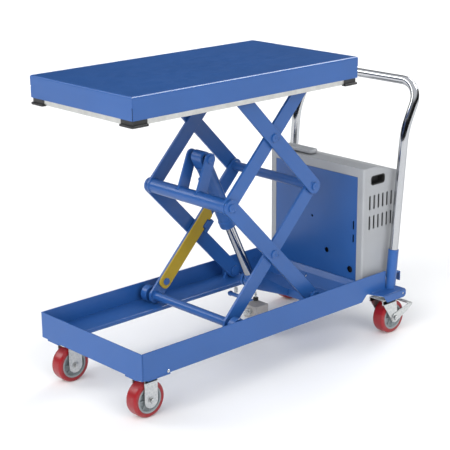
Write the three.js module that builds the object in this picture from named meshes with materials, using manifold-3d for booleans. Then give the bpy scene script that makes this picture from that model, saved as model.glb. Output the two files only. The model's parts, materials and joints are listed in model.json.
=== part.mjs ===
// Mobile double scissor lift table. Millimetres, +Z up, +X towards the push handle.
// Left is -Y and right is +Y, as seen by someone at the front end who faces away from the handle.
import * as THREE from "three";
import { mergeVertices } from "three/addons/utils/BufferGeometryUtils.js";
import Module from "manifold-3d";

const wasm = await Module();
wasm.setup();

// ---------------------------------------------------------------- driving dimensions
const LEFT = -1;
const RIGHT = 1;
const GAP = 0.4; // air between neighbouring pieces
const MIDDLE_X = 677.75; // half of the overall length, the origin of the finished part

// platform
const PLATFORM_X0 = -3.9;
const PLATFORM_LENGTH = 1010;
const PLATFORM_HALF_WIDTH = 261.85;
const PLATFORM_TOP = 1074.4;
const PLATFORM_HEIGHT = 74.2;
const PLATFORM_SHEET = 4;
const PLATFORM_EDGE = 7; // rounding of the top edges
const RAIL_INSET = 7;
const RAIL_SHEET = 3;
const RAIL_BOTTOM = 982;
const RAIL_TOP = 1012;
const CAP_LEG = 56;
const CAP_BOTTOM = 977;

// scissor: pivots in the XZ plane
const FIXED_X = 849;
const LOWER_Z = 216;
const ARM_REACH_X = 200; // half the distance between an arm's end pivots, along X
const ARM_REACH_Z = 206.25;
const ARM_WIDTH = 55;
const OUTER_ARM = [202, 212]; // distance of the two faces from the middle plane
const INNER_ARM = [190, 200];
const PIN_RADIUS = 12;
const PIN_HEAD_RADIUS = 15;
const PIN_HEAD_OUT = 217;
const ROLLER_Y = [216, 244];
const LOWER_ROLLER_RADIUS = 29.6;
const UPPER_ROLLER_RADIUS = 29;
const ROLLER_AXLE_RADIUS = 10;
const BIG_TUBE_RADIUS = 25;
const REAR_TUBE_RADIUS = 17;
const BAR_RADIUS = 16;

// lift cylinder, standing with its rod down
const FOOT = { x: 746, z: 250 };
const HEAD = { x: 502, z: 757 };
const BARREL_RADIUS = 29;
const BARREL_END = 300; // from the head pivot
const BORE_START = 40;
const BORE_RADIUS = 24;
const ROD_RADIUS = 17;
const ROD_TIP = 318; // from the foot pivot
const PLATE_Y = [43, 51];
const PLATE_RADIUS = { foot: 24, head: 22 };
const FOOT_PLATE_Y = [25, 35];

// base
const WEB_OUT = 269.8;
const WEB_SHEET = 4;
const BASE_BOTTOM = 157;
const BASE_TOP = 249.7;
const CASTER_MOUNT_BOTTOM = 151;
const TRACK_TOP = 186;
const TRACK_IN = 152;
const WEB_REAR = 1180;
const PAN_FRONT = 901;
const DECK_TOP = 220;

// housing
const HOUSE_FRONT = 1080;
const HOUSE_REAR = 1290;
const HOUSE_HALF = 238;
const HOUSE_TOP = 651;
const HOUSE_CORNER = 30;
const HOUSE_SHEET = 3;

// casters
const WHEEL_RADIUS = 63.5;
const WHEEL_WIDTH = 50;
const FRONT_CASTER = { x: 65, y: 203 };
const SWIVEL = { x: 1173, y: 261 };
const TRAIL = 38;

// push handle
const HANDLE_RADIUS = 16;
const HANDLE_Y = 273;
const SOCKET_RADIUS = 19.5;
const CORNER_TOP = 180;

// ---------------------------------------------------------------- materials
const paint = (color) => new THREE.MeshStandardMaterial({ color, roughness: 0.42, metalness: 0.1 });
const metal = (color, roughness) => new THREE.MeshStandardMaterial({ color, roughness, metalness: 0.9 });
const plastic = (color) => new THREE.MeshStandardMaterial({ color, roughness: 0.5, metalness: 0 });
const BLUE = () => paint(0x2f5ea6);
const YELLOW = () => paint(0xb5a02a);
const GREY = () => paint(0xa6a9ae);
const ZINC = () => metal(0xb9bebe, 0.4);
const CHROME = () => metal(0xd8dadc, 0.15);
const SILVER = () => metal(0xbebeb9, 0.35);
const RED = () => plastic(0xaa2328);
const BLACK = () => plastic(0x232323);
const HUB = () => plastic(0x78828c);
const IRON = () => metal(0x8c8784, 0.6);

// ---------------------------------------------------------------- solids
function solidOf(geometry) {
  const bare = new THREE.BufferGeometry();
  const flat = geometry.index ? geometry.toNonIndexed() : geometry;
  bare.setAttribute("position", flat.getAttribute("position"));
  const merged = mergeVertices(bare, 1e-4);
  return new wasm.Manifold(
    new wasm.Mesh({
      numProp: 3,
      vertProperties: merged.attributes.position.array,
      triVerts: new Uint32Array(merged.index.array),
    }),
  );
}

function geometryOf(solid) {
  const mesh = solid.getMesh();
  const geometry = new THREE.BufferGeometry();
  geometry.setAttribute("position", new THREE.BufferAttribute(mesh.vertProperties, 3));
  geometry.setIndex(new THREE.BufferAttribute(mesh.triVerts, 1));
  return geometry;
}

const join = (...pieces) => geometryOf(pieces.map(solidOf).reduce((all, piece) => all.add(piece)));

function cut(body, ...tools) {
  return geometryOf(tools.map(solidOf).reduce((all, tool) => all.subtract(tool), solidOf(body)));
}

const common = (a, b) => geometryOf(solidOf(a).intersect(solidOf(b)));

// ---------------------------------------------------------------- basic shapes
function box(x0, x1, y0, y1, z0, z1) {
  const g = new THREE.BoxGeometry(Math.abs(x1 - x0), Math.abs(y1 - y0), Math.abs(z1 - z0));
  return g.translate((x0 + x1) / 2, (y0 + y1) / 2, (z0 + z1) / 2);
}

function roundY(x, z, y0, y1, radius, sides = 16) {
  const g = new THREE.CylinderGeometry(radius, radius, Math.abs(y1 - y0), sides);
  return g.translate(x, (y0 + y1) / 2, z);
}

function roundZ(x, y, z0, z1, radius, sides = 16) {
  const g = new THREE.CylinderGeometry(radius, radius, Math.abs(z1 - z0), sides);
  return g.rotateX(Math.PI / 2).translate(x, y, (z0 + z1) / 2);
}

function roundX(y, z, x0, x1, radius, sides = 16) {
  const g = new THREE.CylinderGeometry(radius, radius, Math.abs(x1 - x0), sides);
  return g.rotateZ(Math.PI / 2).translate((x0 + x1) / 2, y, z);
}

function shapeOf(points) {
  return new THREE.Shape(points.map(([u, v]) => new THREE.Vector2(u, v)));
}

// The outline on the right-hand side, or its mirror image on the left.
function mirroredShape(points, side) {
  const turned = points.map(([u, v]) => [u, side * v]);
  return shapeOf(side === RIGHT ? turned : turned.reverse());
}

// A flat outline drawn in X and Z, thickened along Y.
function slabY(shape, y0, y1, curveSegments = 7) {
  const depth = Math.abs(y1 - y0);
  const g = new THREE.ExtrudeGeometry(shape, { depth, bevelEnabled: false, curveSegments });
  return g.rotateX(Math.PI / 2).translate(0, Math.max(y0, y1), 0);
}

// A flat outline drawn in X and Y, thickened along Z.
function slabZ(shape, z0, z1, curveSegments = 7) {
  const g = new THREE.ExtrudeGeometry(shape, { depth: z1 - z0, bevelEnabled: false, curveSegments });
  return g.translate(0, 0, z0);
}

// A flat outline drawn in Y and Z, thickened along X.
function slabX(shape, x0, x1, curveSegments = 7) {
  const g = new THREE.ExtrudeGeometry(shape, { depth: x1 - x0, bevelEnabled: false, curveSegments });
  const turn = new THREE.Matrix4().makeBasis(
    new THREE.Vector3(0, 1, 0),
    new THREE.Vector3(0, 0, 1),
    new THREE.Vector3(1, 0, 0),
  );
  return g.applyMatrix4(turn).translate(x0, 0, 0);
}

// The outline round two circles and the straight edges that touch both.
function linkShape(ax, az, bx, bz, ra, rb = ra) {
  const along = Math.atan2(bz - az, bx - ax);
  const lean = Math.acos((ra - rb) / Math.hypot(bx - ax, bz - az));
  const shape = new THREE.Shape();
  shape.absarc(bx, bz, rb, along - lean, along + lean, false);
  shape.absarc(ax, az, ra, along + lean, along + 2 * Math.PI - lean, false);
  return shape;
}

function roundedRect(u0, u1, v0, v1, r) {
  const shape = new THREE.Shape();
  shape.absarc(u1 - r, v0 + r, r, -Math.PI / 2, 0, false);
  shape.absarc(u1 - r, v1 - r, r, 0, Math.PI / 2, false);
  shape.absarc(u0 + r, v1 - r, r, Math.PI / 2, Math.PI, false);
  shape.absarc(u0 + r, v0 + r, r, Math.PI, 1.5 * Math.PI, false);
  return shape;
}

// A solid of revolution round the Y axis from [radius, height] pairs, closed on the axis or on itself.
function turned(profile, sides = 24) {
  return new THREE.LatheGeometry(profile.map(([r, h]) => new THREE.Vector2(r, h)), sides);
}

const group = new THREE.Group();
group.name = "scissor_lift_table";
group.position.x = -MIDDLE_X;

function add(name, geometry, material, parent = group) {
  const mesh = new THREE.Mesh(geometry, material);
  mesh.name = name;
  parent.add(mesh);
  return mesh;
}

const bothSides = (make) => [
  [LEFT, "left"],
  [RIGHT, "right"],
].forEach(([side, word]) => make(side, word));

// ---------------------------------------------------------------- pivots
const FRONT_X = FIXED_X - 2 * ARM_REACH_X;
const CENTRE_X = FIXED_X - ARM_REACH_X;
const MID_Z = LOWER_Z + 2 * ARM_REACH_Z;
const UPPER_Z = MID_Z + 2 * ARM_REACH_Z;
const pivot = {
  lowerFront: { x: FRONT_X, z: LOWER_Z },
  lowerRear: { x: FIXED_X, z: LOWER_Z },
  lowerCentre: { x: CENTRE_X, z: LOWER_Z + ARM_REACH_Z },
  midFront: { x: FRONT_X, z: MID_Z },
  midRear: { x: FIXED_X, z: MID_Z },
  upperCentre: { x: CENTRE_X, z: MID_Z + ARM_REACH_Z },
  upperFront: { x: FRONT_X, z: UPPER_Z },
  upperRear: { x: FIXED_X, z: UPPER_Z },
};

// ---------------------------------------------------------------- scissor arms
// One flat arm with a hole at each named pivot; radius of each hole is that of its pin plus air.
function arm(a, b, faces, side, holes) {
  const [near, far] = faces.map((y) => side * y);
  const body = slabY(linkShape(a.x, a.z, b.x, b.z, ARM_WIDTH / 2), near, far);
  const tools = holes.map(([p, r]) => roundY(p.x, p.z, near - side, far + side, r + GAP));
  return cut(body, ...tools);
}

// A stub pin from the middle of an inner arm, out through the outer arm, with a head.
function centrePin(p, side) {
  return join(
    roundY(p.x, p.z, side * (INNER_ARM[0] + 2), side * (PIN_HEAD_OUT - 3), PIN_RADIUS),
    roundY(p.x, p.z, side * (OUTER_ARM[1] + GAP), side * PIN_HEAD_OUT, PIN_HEAD_RADIUS),
    roundY(p.x, p.z, side * (INNER_ARM[1] - 1), side * (OUTER_ARM[0] - GAP), PIN_HEAD_RADIUS),
  );
}

bothSides((side, word) => {
  const { lowerFront, lowerRear, lowerCentre, midFront, midRear, upperCentre, upperFront, upperRear } = pivot;
  add(
    "lower_outer_arm_" + word,
    arm(midFront, lowerRear, OUTER_ARM, side, [
      [midFront, PIN_RADIUS],
      [lowerCentre, PIN_RADIUS],
      [lowerRear, PIN_RADIUS],
    ]),
    BLUE(),
  );
  add(
    "upper_outer_arm_" + word,
    arm(upperFront, midRear, OUTER_ARM, side, [
      [upperFront, ROLLER_AXLE_RADIUS],
      [upperCentre, PIN_RADIUS],
      [midRear, PIN_RADIUS],
    ]),
    BLUE(),
  );
  const lowerInner = arm(lowerFront, midRear, INNER_ARM, side, [
    [lowerFront, ROLLER_AXLE_RADIUS],
    [midRear, PIN_RADIUS],
  ]);
  add("lower_inner_arm_" + word, join(lowerInner, centrePin(lowerCentre, side)), BLUE());
  const upperInner = arm(midFront, upperRear, INNER_ARM, side, [
    [midFront, PIN_RADIUS],
    [upperRear, PIN_RADIUS],
  ]);
  add("upper_inner_arm_" + word, join(upperInner, centrePin(upperCentre, side)), BLUE());
});

// A cross tube between the arms, with a thinner end through both arms and a head outside.
function crossTube(p, radius) {
  return join(
    roundY(p.x, p.z, -(INNER_ARM[0] - GAP), INNER_ARM[0] - GAP, radius, 24),
    roundY(p.x, p.z, -(PIN_HEAD_OUT - 1), PIN_HEAD_OUT - 1, PIN_RADIUS),
    roundY(p.x, p.z, OUTER_ARM[1] + GAP, PIN_HEAD_OUT, PIN_HEAD_RADIUS),
    roundY(p.x, p.z, -(OUTER_ARM[1] + GAP), -PIN_HEAD_OUT, PIN_HEAD_RADIUS),
  );
}

// Two plates welded to the front cross tube carry the head of the cylinder on short pins.
function cylinderPlate(side) {
  const { midFront: foot } = pivot;
  const [near, far] = PLATE_Y.map((y) => side * y);
  const { foot: low, head: high } = PLATE_RADIUS;
  const plate = slabY(linkShape(foot.x + 6, foot.z + 2, HEAD.x, HEAD.z, low, high), near, far);
  return join(
    plate,
    roundY(HEAD.x, HEAD.z, side * (PLATE_Y[1] - 1), side * (PLATE_Y[1] + 6), 15),
  );
}

add(
  "cylinder_bracket",
  join(crossTube(pivot.midFront, BIG_TUBE_RADIUS), cylinderPlate(LEFT), cylinderPlate(RIGHT)),
  BLUE(),
);
add("rear_cross_tube", crossTube(pivot.midRear, REAR_TUBE_RADIUS), BLUE());

// The bar between the roller ends of two arms is also the rollers' axle.
function rollerBar(p, armFaces) {
  const ends = [LEFT, RIGHT].flatMap((side) => [
    roundY(p.x, p.z, side * (armFaces[1] + GAP), side * (ROLLER_Y[0] - GAP), 15),
    roundY(p.x, p.z, side * (ROLLER_Y[1] + GAP), side * (ROLLER_Y[1] + 4), 14),
  ]);
  return join(
    roundY(p.x, p.z, -(armFaces[0] - GAP), armFaces[0] - GAP, BAR_RADIUS),
    roundY(p.x, p.z, -(ROLLER_Y[1] + 3), ROLLER_Y[1] + 3, ROLLER_AXLE_RADIUS),
    ...ends,
  );
}

add("lower_roller_bar", rollerBar(pivot.lowerFront, INNER_ARM), BLUE());
add("upper_roller_bar", rollerBar(pivot.upperFront, OUTER_ARM), BLUE());

function roller(radius) {
  const half = (ROLLER_Y[1] - ROLLER_Y[0]) / 2;
  const bore = ROLLER_AXLE_RADIUS + GAP;
  return turned(
    [
      [bore, -half],
      [radius - 2, -half],
      [radius, -half + 2],
      [radius, half - 2],
      [radius - 2, half],
      [bore, half],
      [bore, -half],
    ],
    24,
  );
}

bothSides((side, word) => {
  const y = (side * (ROLLER_Y[0] + ROLLER_Y[1])) / 2;
  const lower = add("lower_roller_" + word, roller(LOWER_ROLLER_RADIUS), IRON());
  lower.position.set(pivot.lowerFront.x, y, pivot.lowerFront.z);
  const upper = add("upper_roller_" + word, roller(UPPER_ROLLER_RADIUS), IRON());
  upper.position.set(pivot.upperFront.x, y, pivot.upperFront.z);
});

// ---------------------------------------------------------------- lift cylinder
// Both pieces are drawn upright along +Z from their own pivot and then leant over.
const lean = Math.atan2(HEAD.x - FOOT.x, HEAD.z - FOOT.z);

function barrel() {
  const tube = turned(
    [
      [0, -BORE_START + 6],
      [BARREL_RADIUS, -BORE_START + 6],
      [BARREL_RADIUS, -BARREL_END + 16],
      [BARREL_RADIUS + 2, -BARREL_END + 14],
      [BARREL_RADIUS + 2, -BARREL_END],
      [ROD_RADIUS + 1, -BARREL_END],
      [ROD_RADIUS + 1, -BARREL_END + 9],
      [BORE_RADIUS, -BARREL_END + 9],
      [BORE_RADIUS, -BORE_START],
      [0, -BORE_START],
    ].reverse(),
    24,
  ).rotateX(Math.PI / 2);
  const eye = join(
    roundY(0, 0, -26, 26, 23),
    box(-22, 22, -24, 24, -BORE_START + 4, 0),
  );
  const port = roundX(0, -70, -BARREL_RADIUS - 12, -BARREL_RADIUS + 2, 8);
  return join(tube, cut(eye, roundY(0, 0, -40, 40, 10.5)), port);
}

function rod() {
  const eye = cut(roundY(0, 0, -21, 21, 24), roundY(0, 0, -40, 40, 10 + GAP));
  const stem = turned(
    [
      [0, 18],
      [ROD_RADIUS + 3, 18],
      [ROD_RADIUS + 3, 36],
      [ROD_RADIUS, 38],
      [ROD_RADIUS, ROD_TIP - 9],
      [BORE_RADIUS - 1, ROD_TIP - 9],
      [BORE_RADIUS - 1, ROD_TIP],
      [0, ROD_TIP],
    ],
    20,
  ).rotateX(Math.PI / 2);
  return join(stem, eye);
}

const barrelMesh = add("cylinder_barrel", barrel(), BLUE());
barrelMesh.position.set(HEAD.x, 0, HEAD.z);
barrelMesh.rotation.y = lean;
const rodMesh = add("cylinder_rod", rod(), CHROME());
rodMesh.position.set(FOOT.x, 0, FOOT.z);
rodMesh.rotation.y = lean;

// The foot clevis reaches forward from the pan's front strip and holds the rod's pin.
function footClevis() {
  const outline = new THREE.Shape();
  outline.moveTo(PAN_FRONT - GAP, BASE_BOTTOM + 3);
  outline.lineTo(PAN_FRONT - GAP, BASE_BOTTOM + 30);
  const down = Math.atan2(FOOT.z - (BASE_BOTTOM + 16), PAN_FRONT - FOOT.x);
  outline.absarc(FOOT.x, FOOT.z, 26, Math.PI / 2 - down, 1.5 * Math.PI - down, false);
  const plates = [LEFT, RIGHT].map((side) =>
    slabY(outline, side * FOOT_PLATE_Y[0], side * FOOT_PLATE_Y[1]),
  );
  return join(
    ...plates,
    roundY(FOOT.x, FOOT.z, -FOOT_PLATE_Y[1] - 6, FOOT_PLATE_Y[1] + 6, 10),
    roundY(FOOT.x, FOOT.z, FOOT_PLATE_Y[1] - 1, FOOT_PLATE_Y[1] + 7, 15),
    roundY(FOOT.x, FOOT.z, -FOOT_PLATE_Y[1] + 1, -FOOT_PLATE_Y[1] - 7, 15),
  );
}

add("cylinder_clevis", footClevis(), BLUE());

// Hydraulic block hung under the clevis, with a solenoid and two fittings.
add(
  "valve_block",
  join(
    box(727, 790, -42, 22, 108, BASE_BOTTOM + 3 - GAP),
    roundY(748, 134, 20, 40, 11),
    roundX(-20, 128, 788, 804, 9),
    roundX(6, 128, 788, 800, 7),
    roundX(-10, 138, 700, 729, 12),
  ),
  IRON(),
);

// ---------------------------------------------------------------- safety prop
const PROP_PIVOT = { x: 488, z: 8 + LOWER_Z + ((488 - FRONT_X) * ARM_REACH_Z) / ARM_REACH_X };
const PROP_LENGTH = 290;
const PROP_WIDTH = 52;
const PROP_Y = [INNER_ARM[0] - 10.5, INNER_ARM[0] - 4.5];

function prop() {
  const along = Math.atan2(ARM_REACH_Z, ARM_REACH_X);
  const tip = {
    x: PROP_PIVOT.x + PROP_LENGTH * Math.cos(along),
    z: PROP_PIVOT.z + PROP_LENGTH * Math.sin(along),
  };
  const [near, far] = PROP_Y;
  const body = slabY(linkShape(PROP_PIVOT.x, PROP_PIVOT.z, tip.x, tip.z, PROP_WIDTH / 2), near, far);
  // the notch in the lower edge leaves a hook at the end
  const notch = box(-44, -6, -1, far - near + 1, -PROP_WIDTH / 2 - 2, -13);
  notch.rotateY(-along).translate(tip.x, near, tip.z);
  const hole = roundY(PROP_PIVOT.x, PROP_PIVOT.z, near - 1, far + 1, 8 + GAP);
  return cut(body, notch, hole);
}

add("safety_prop", prop(), YELLOW());
const propPin = join(
  roundY(PROP_PIVOT.x, PROP_PIVOT.z, PROP_Y[0] - 2, INNER_ARM[0] + 3, 8),
  roundY(PROP_PIVOT.x, PROP_PIVOT.z, PROP_Y[0] - 6, PROP_Y[0] - GAP, 14),
  roundY(PROP_PIVOT.x, PROP_PIVOT.z, PROP_Y[1] + GAP, INNER_ARM[0] + 1, 14),
);
const propArm = group.getObjectByName("lower_inner_arm_right");
propArm.geometry = join(propArm.geometry, propPin);

// ---------------------------------------------------------------- platform
function platform() {
  const x0 = PLATFORM_X0;
  const x1 = PLATFORM_X0 + PLATFORM_LENGTH;
  const bottom = PLATFORM_TOP - PLATFORM_HEIGHT;
  const w = PLATFORM_HALF_WIDTH;
  // the rounded top edges come from two crossed profiles, one along each side
  const across = new THREE.Shape();
  across.moveTo(-w, bottom);
  across.lineTo(w, bottom);
  across.absarc(w - PLATFORM_EDGE, PLATFORM_TOP - PLATFORM_EDGE, PLATFORM_EDGE, 0, Math.PI / 2, false);
  across.absarc(-w + PLATFORM_EDGE, PLATFORM_TOP - PLATFORM_EDGE, PLATFORM_EDGE, Math.PI / 2, Math.PI, false);
  const along = new THREE.Shape();
  along.moveTo(x0, bottom);
  along.lineTo(x1, bottom);
  along.absarc(x1 - PLATFORM_EDGE, PLATFORM_TOP - PLATFORM_EDGE, PLATFORM_EDGE, 0, Math.PI / 2, false);
  along.absarc(x0 + PLATFORM_EDGE, PLATFORM_TOP - PLATFORM_EDGE, PLATFORM_EDGE, Math.PI / 2, Math.PI, false);
  const outer = common(slabX(across, x0 - 1, x1 + 1, 5), slabY(along, -w - 1, w + 1, 5));
  const t = PLATFORM_SHEET;
  const hollow = box(x0 + t, x1 - t, -w + t, w - t, bottom - 1, PLATFORM_TOP - t);
  const seams = [];
  for (const x of [x0, x1])
    for (const y of [-w, w]) {
      const slit = box(-16, 16, -0.9, 0.9, bottom - 1, PLATFORM_TOP - 10);
      const turn = Math.sign(y) * (x === x0 ? -1 : 1) * (Math.PI / 4);
      seams.push(slit.rotateZ(turn).translate(x, y, 0));
    }
  const shell = cut(outer, hollow, ...seams);
  const under = PLATFORM_TOP - PLATFORM_SHEET;
  const { upperRear: p } = pivot;
  const lugs = [LEFT, RIGHT].flatMap((side) => {
    const lug = new THREE.Shape();
    lug.moveTo(p.x + 40, under + 1);
    lug.lineTo(p.x - 40, under + 1);
    lug.absarc(p.x, p.z, 24, Math.PI, 2 * Math.PI, false);
    return [
      slabY(lug, side * (INNER_ARM[1] + 4), side * (INNER_ARM[1] + 13)),
      roundY(p.x, p.z, side * (INNER_ARM[0] - 1), side * (INNER_ARM[1] + 9), PIN_RADIUS),
      roundY(p.x, p.z, side * (INNER_ARM[0] - 5), side * (INNER_ARM[0] - GAP), PIN_HEAD_RADIUS),
      roundY(p.x, p.z, side * (INNER_ARM[1] + GAP), side * (INNER_ARM[1] + 5), PIN_HEAD_RADIUS),
    ];
  });
  return join(shell, ...lugs);
}

add("platform", platform(), BLUE());

function ring(x0, x1, half, sheet, z0, z1) {
  return cut(
    box(x0, x1, -half, half, z0, z1),
    box(x0 + sheet, x1 - sheet, -half + sheet, half - sheet, z0 - 1, z1 + 1),
  );
}

const RAIL_X0 = PLATFORM_X0 + RAIL_INSET;
const RAIL_X1 = PLATFORM_X0 + PLATFORM_LENGTH - RAIL_INSET;
const RAIL_HALF = PLATFORM_HALF_WIDTH - RAIL_INSET;
add("safety_rail", ring(RAIL_X0, RAIL_X1, RAIL_HALF, RAIL_SHEET, RAIL_BOTTOM, RAIL_TOP), SILVER());

// A corner cap: a thin L outside the rail, with a lip that turns in under it and stands proud.
function cornerCap(endX, dirX, side) {
  const l = (a, b, z0, z1) => {
    const x0 = endX + dirX * a;
    const x1 = endX + dirX * b;
    return [x0, x1, z0, z1];
  };
  const wall = (out, back, z0, z1) => {
    const xo = endX - dirX * out;
    const yo = side * (RAIL_HALF + out);
    const xb = endX - dirX * back;
    const yb = side * (RAIL_HALF + back);
    const legX = box(xo, endX + dirX * CAP_LEG, yo, yb, z0, z1);
    const legY = box(xo, xb, yo, side * (RAIL_HALF - CAP_LEG), z0, z1);
    return join(legX, legY);
  };
  return join(
    wall(2.4, GAP, CAP_BOTTOM + 2, PLATFORM_TOP - PLATFORM_HEIGHT + 6),
    wall(8.5, GAP, CAP_BOTTOM, CAP_BOTTOM + 7),
    wall(2.4, -RAIL_SHEET - 1, CAP_BOTTOM, RAIL_BOTTOM - GAP),
  );
}

for (const [endX, dirX, end] of [
  [RAIL_X0, 1, "front"],
  [RAIL_X1, -1, "rear"],
])
  bothSides((side, word) => add("corner_cap_" + end + "_" + word, cornerCap(endX, dirX, side), BLACK()));

// ---------------------------------------------------------------- base
function sideChannel(side) {
  const web = shapeOf([
    [WEB_SHEET + GAP, BASE_BOTTOM],
    [1050, BASE_BOTTOM],
    [1074, CORNER_TOP + GAP],
    [WEB_REAR, CORNER_TOP + GAP],
    [WEB_REAR, BASE_TOP],
    [WEB_SHEET + GAP, BASE_TOP],
  ]);
  const inner = WEB_OUT - WEB_SHEET;
  const { lowerRear: p } = pivot;
  const lug = new THREE.Shape();
  lug.moveTo(p.x - 42, TRACK_TOP - 1);
  lug.lineTo(p.x + 42, TRACK_TOP - 1);
  lug.absarc(p.x, p.z, 24, 0, Math.PI, false);
  const trackEnd = PAN_FRONT - 2 * GAP;
  return join(
    slabY(web, side * inner, side * WEB_OUT),
    box(WEB_SHEET + GAP, trackEnd, side * TRACK_IN, side * (inner + 1), TRACK_TOP - WEB_SHEET, TRACK_TOP),
    box(WEB_SHEET + GAP, trackEnd, side * TRACK_IN, side * (TRACK_IN + 4), TRACK_TOP - 14, TRACK_TOP),
    slabY(lug, side * (OUTER_ARM[1] + 4), side * (OUTER_ARM[1] + 14)),
    box(p.x - 4, p.x + 4, side * (OUTER_ARM[1] + 12), side * (inner + 1), TRACK_TOP - 1, p.z + 14),
    roundY(p.x, p.z, side * (OUTER_ARM[0] - 2), side * (OUTER_ARM[1] + 7), PIN_RADIUS),
    roundY(p.x, p.z, side * (OUTER_ARM[0] - 6), side * (OUTER_ARM[0] - GAP), PIN_HEAD_RADIUS),
    roundY(p.x, p.z, side * (OUTER_ARM[1] + GAP), side * (OUTER_ARM[1] + 5), PIN_HEAD_RADIUS),
  );
}

bothSides((side, word) => add("base_channel_" + word, sideChannel(side), BLUE()));

function frontPlate() {
  const mount = [
    [1, 182],
    [28, 153],
    [120, 153],
    [120, WEB_OUT],
    [28, WEB_OUT],
    [1, 240],
  ];
  const casterPlates = [LEFT, RIGHT].flatMap((side) => [
    slabZ(mirroredShape(mount, side), CASTER_MOUNT_BOTTOM, BASE_BOTTOM - GAP),
    slabY(
      shapeOf([
        [2, BASE_BOTTOM - 2],
        [80, BASE_BOTTOM - 2],
        [2, TRACK_TOP - 6],
      ]),
      side * 196,
      side * 200,
    ),
  ]);
  return join(box(0, WEB_SHEET, -WEB_OUT, WEB_OUT, BASE_BOTTOM - 1, BASE_TOP), ...casterPlates);
}

add("front_plate", frontPlate(), BLUE());

// One folded sheet: front strip, low pan, slanted riser, deck under the housing, rear flange.
function rearPan() {
  const t = 4;
  const half = WEB_OUT - WEB_SHEET - GAP;
  const top = [
    [PAN_FRONT, 189],
    [PAN_FRONT + t, 189],
    [PAN_FRONT + t, BASE_BOTTOM + t],
    [1046, BASE_BOTTOM + t],
    [1064, 200],
    [1076, DECK_TOP],
    [HOUSE_REAR, DECK_TOP],
    [HOUSE_REAR, 182],
    [HOUSE_REAR - t, 182],
    [HOUSE_REAR - t, DECK_TOP - t],
    [1079, DECK_TOP - t],
    [1068, 198],
    [1050, BASE_BOTTOM],
    [PAN_FRONT, BASE_BOTTOM],
  ];
  const beside = [LEFT, RIGHT].map((side) => box(1172, HOUSE_REAR + 1, side * 249, side * 300, 170, 230));
  return cut(slabY(shapeOf(top.reverse()), -half, half), ...beside);
}

add("rear_pan", rearPan(), BLUE());

// Rear corner plate with its handle socket.
const SOCKET_LEAN = Math.atan2(14, 150);
const SOCKET = { x: 1203, z0: 178, length: 150 };

function cornerPlate(side) {
  const top = mirroredShape(
    [
      [1092, 262],
      [1112, 320],
      [1236, 320],
      [1236, 240],
      [1228, 216],
      [1104, 216],
    ],
    side,
  );
  const flange = shapeOf([
    [1112, CORNER_TOP - 2],
    [1134, 148],
    [1222, 148],
    [1240, 158],
    [1240, CORNER_TOP - 2],
  ]);
  const leant = (g) => g.rotateY(SOCKET_LEAN).translate(SOCKET.x, side * HANDLE_Y, SOCKET.z0);
  const socket = leant(roundZ(0, 0, 0, SOCKET.length, SOCKET_RADIUS, 24));
  const bolt = leant(roundX(0, 36, SOCKET_RADIUS - 3, SOCKET_RADIUS + 10, 6, 6));
  const bore = leant(roundZ(0, 0, 8, SOCKET.length + 10, HANDLE_RADIUS + GAP, 24));
  const body = join(
    slabZ(top, CORNER_TOP - 4, CORNER_TOP),
    slabY(flange, side * 316, side * 320),
    socket,
  );
  return join(cut(body, bore), bolt);
}

bothSides((side, word) => add("corner_plate_" + word, cornerPlate(side), BLUE()));

// ---------------------------------------------------------------- push handle
// Straight runs joined by round bends: each bend replaces its corner by a quadratic arc.
function bentPath(points, radii) {
  const path = new THREE.CurvePath();
  let from = points[0];
  for (let i = 1; i < points.length - 1; i++) {
    const back = points[i - 1].clone().sub(points[i]).normalize();
    const on = points[i + 1].clone().sub(points[i]).normalize();
    const start = points[i].clone().addScaledVector(back, radii[i - 1]);
    const end = points[i].clone().addScaledVector(on, radii[i - 1]);
    path.add(new THREE.LineCurve3(from, start));
    path.add(new THREE.QuadraticBezierCurve3(start, points[i], end));
    from = end;
  }
  path.add(new THREE.LineCurve3(from, points.at(-1)));
  return path;
}

function handle() {
  const foot = SOCKET.z0 + 12;
  const legX = (z) => SOCKET.x + (z - SOCKET.z0) * Math.tan(SOCKET_LEAN);
  const leg = [
    [legX(foot), foot],
    [legX(330), 330],
    [1258, 772],
    [1342, 938],
  ];
  const left = leg.map(([x, z]) => new THREE.Vector3(x, -HANDLE_Y, z));
  const right = leg.map(([x, z]) => new THREE.Vector3(x, HANDLE_Y, z)).reverse();
  const path = bentPath([...left, ...right], [40, 45, 84, 84, 45, 40]);
  const round = new THREE.Shape().absarc(0, 0, HANDLE_RADIUS, 0, 2 * Math.PI, false);
  return new THREE.ExtrudeGeometry(round, { steps: 56, extrudePath: path, curveSegments: 6 });
}

add("push_handle", handle(), CHROME());

// ---------------------------------------------------------------- housing
// Outline in plan: square at the front, round at the two rear corners.
function housePlan(grow) {
  const h = HOUSE_HALF + grow;
  const r = HOUSE_CORNER + grow;
  const x1 = HOUSE_REAR - 2 + grow;
  const shape = new THREE.Shape();
  shape.absarc(HOUSE_FRONT - grow + 8, -h + 8, 8, Math.PI, 1.5 * Math.PI, false);
  shape.absarc(x1 - r, -h + r, r, -Math.PI / 2, 0, false);
  shape.absarc(x1 - r, h - r, r, 0, Math.PI / 2, false);
  shape.absarc(HOUSE_FRONT - grow + 8, h - 8, 8, Math.PI / 2, Math.PI, false);
  return shape;
}

// Side profile: flat top at the front, sloping to the rear, rounded where it turns down.
function houseSide(grow) {
  const top = HOUSE_TOP + grow;
  const x1 = HOUSE_REAR + grow;
  return shapeOf([
    [HOUSE_FRONT - 5, 100],
    [x1 + 5, 100],
    [x1 + 5, top - 60],
    [x1 - 4, top - 46],
    [x1 - 14, top - 38],
    [x1 - 28, top - 32],
    [1144, top],
    [HOUSE_FRONT + 5 - grow, top],
    [HOUSE_FRONT - grow, top - 4],
    [HOUSE_FRONT - 5, top - 10],
  ]);
}

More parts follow.
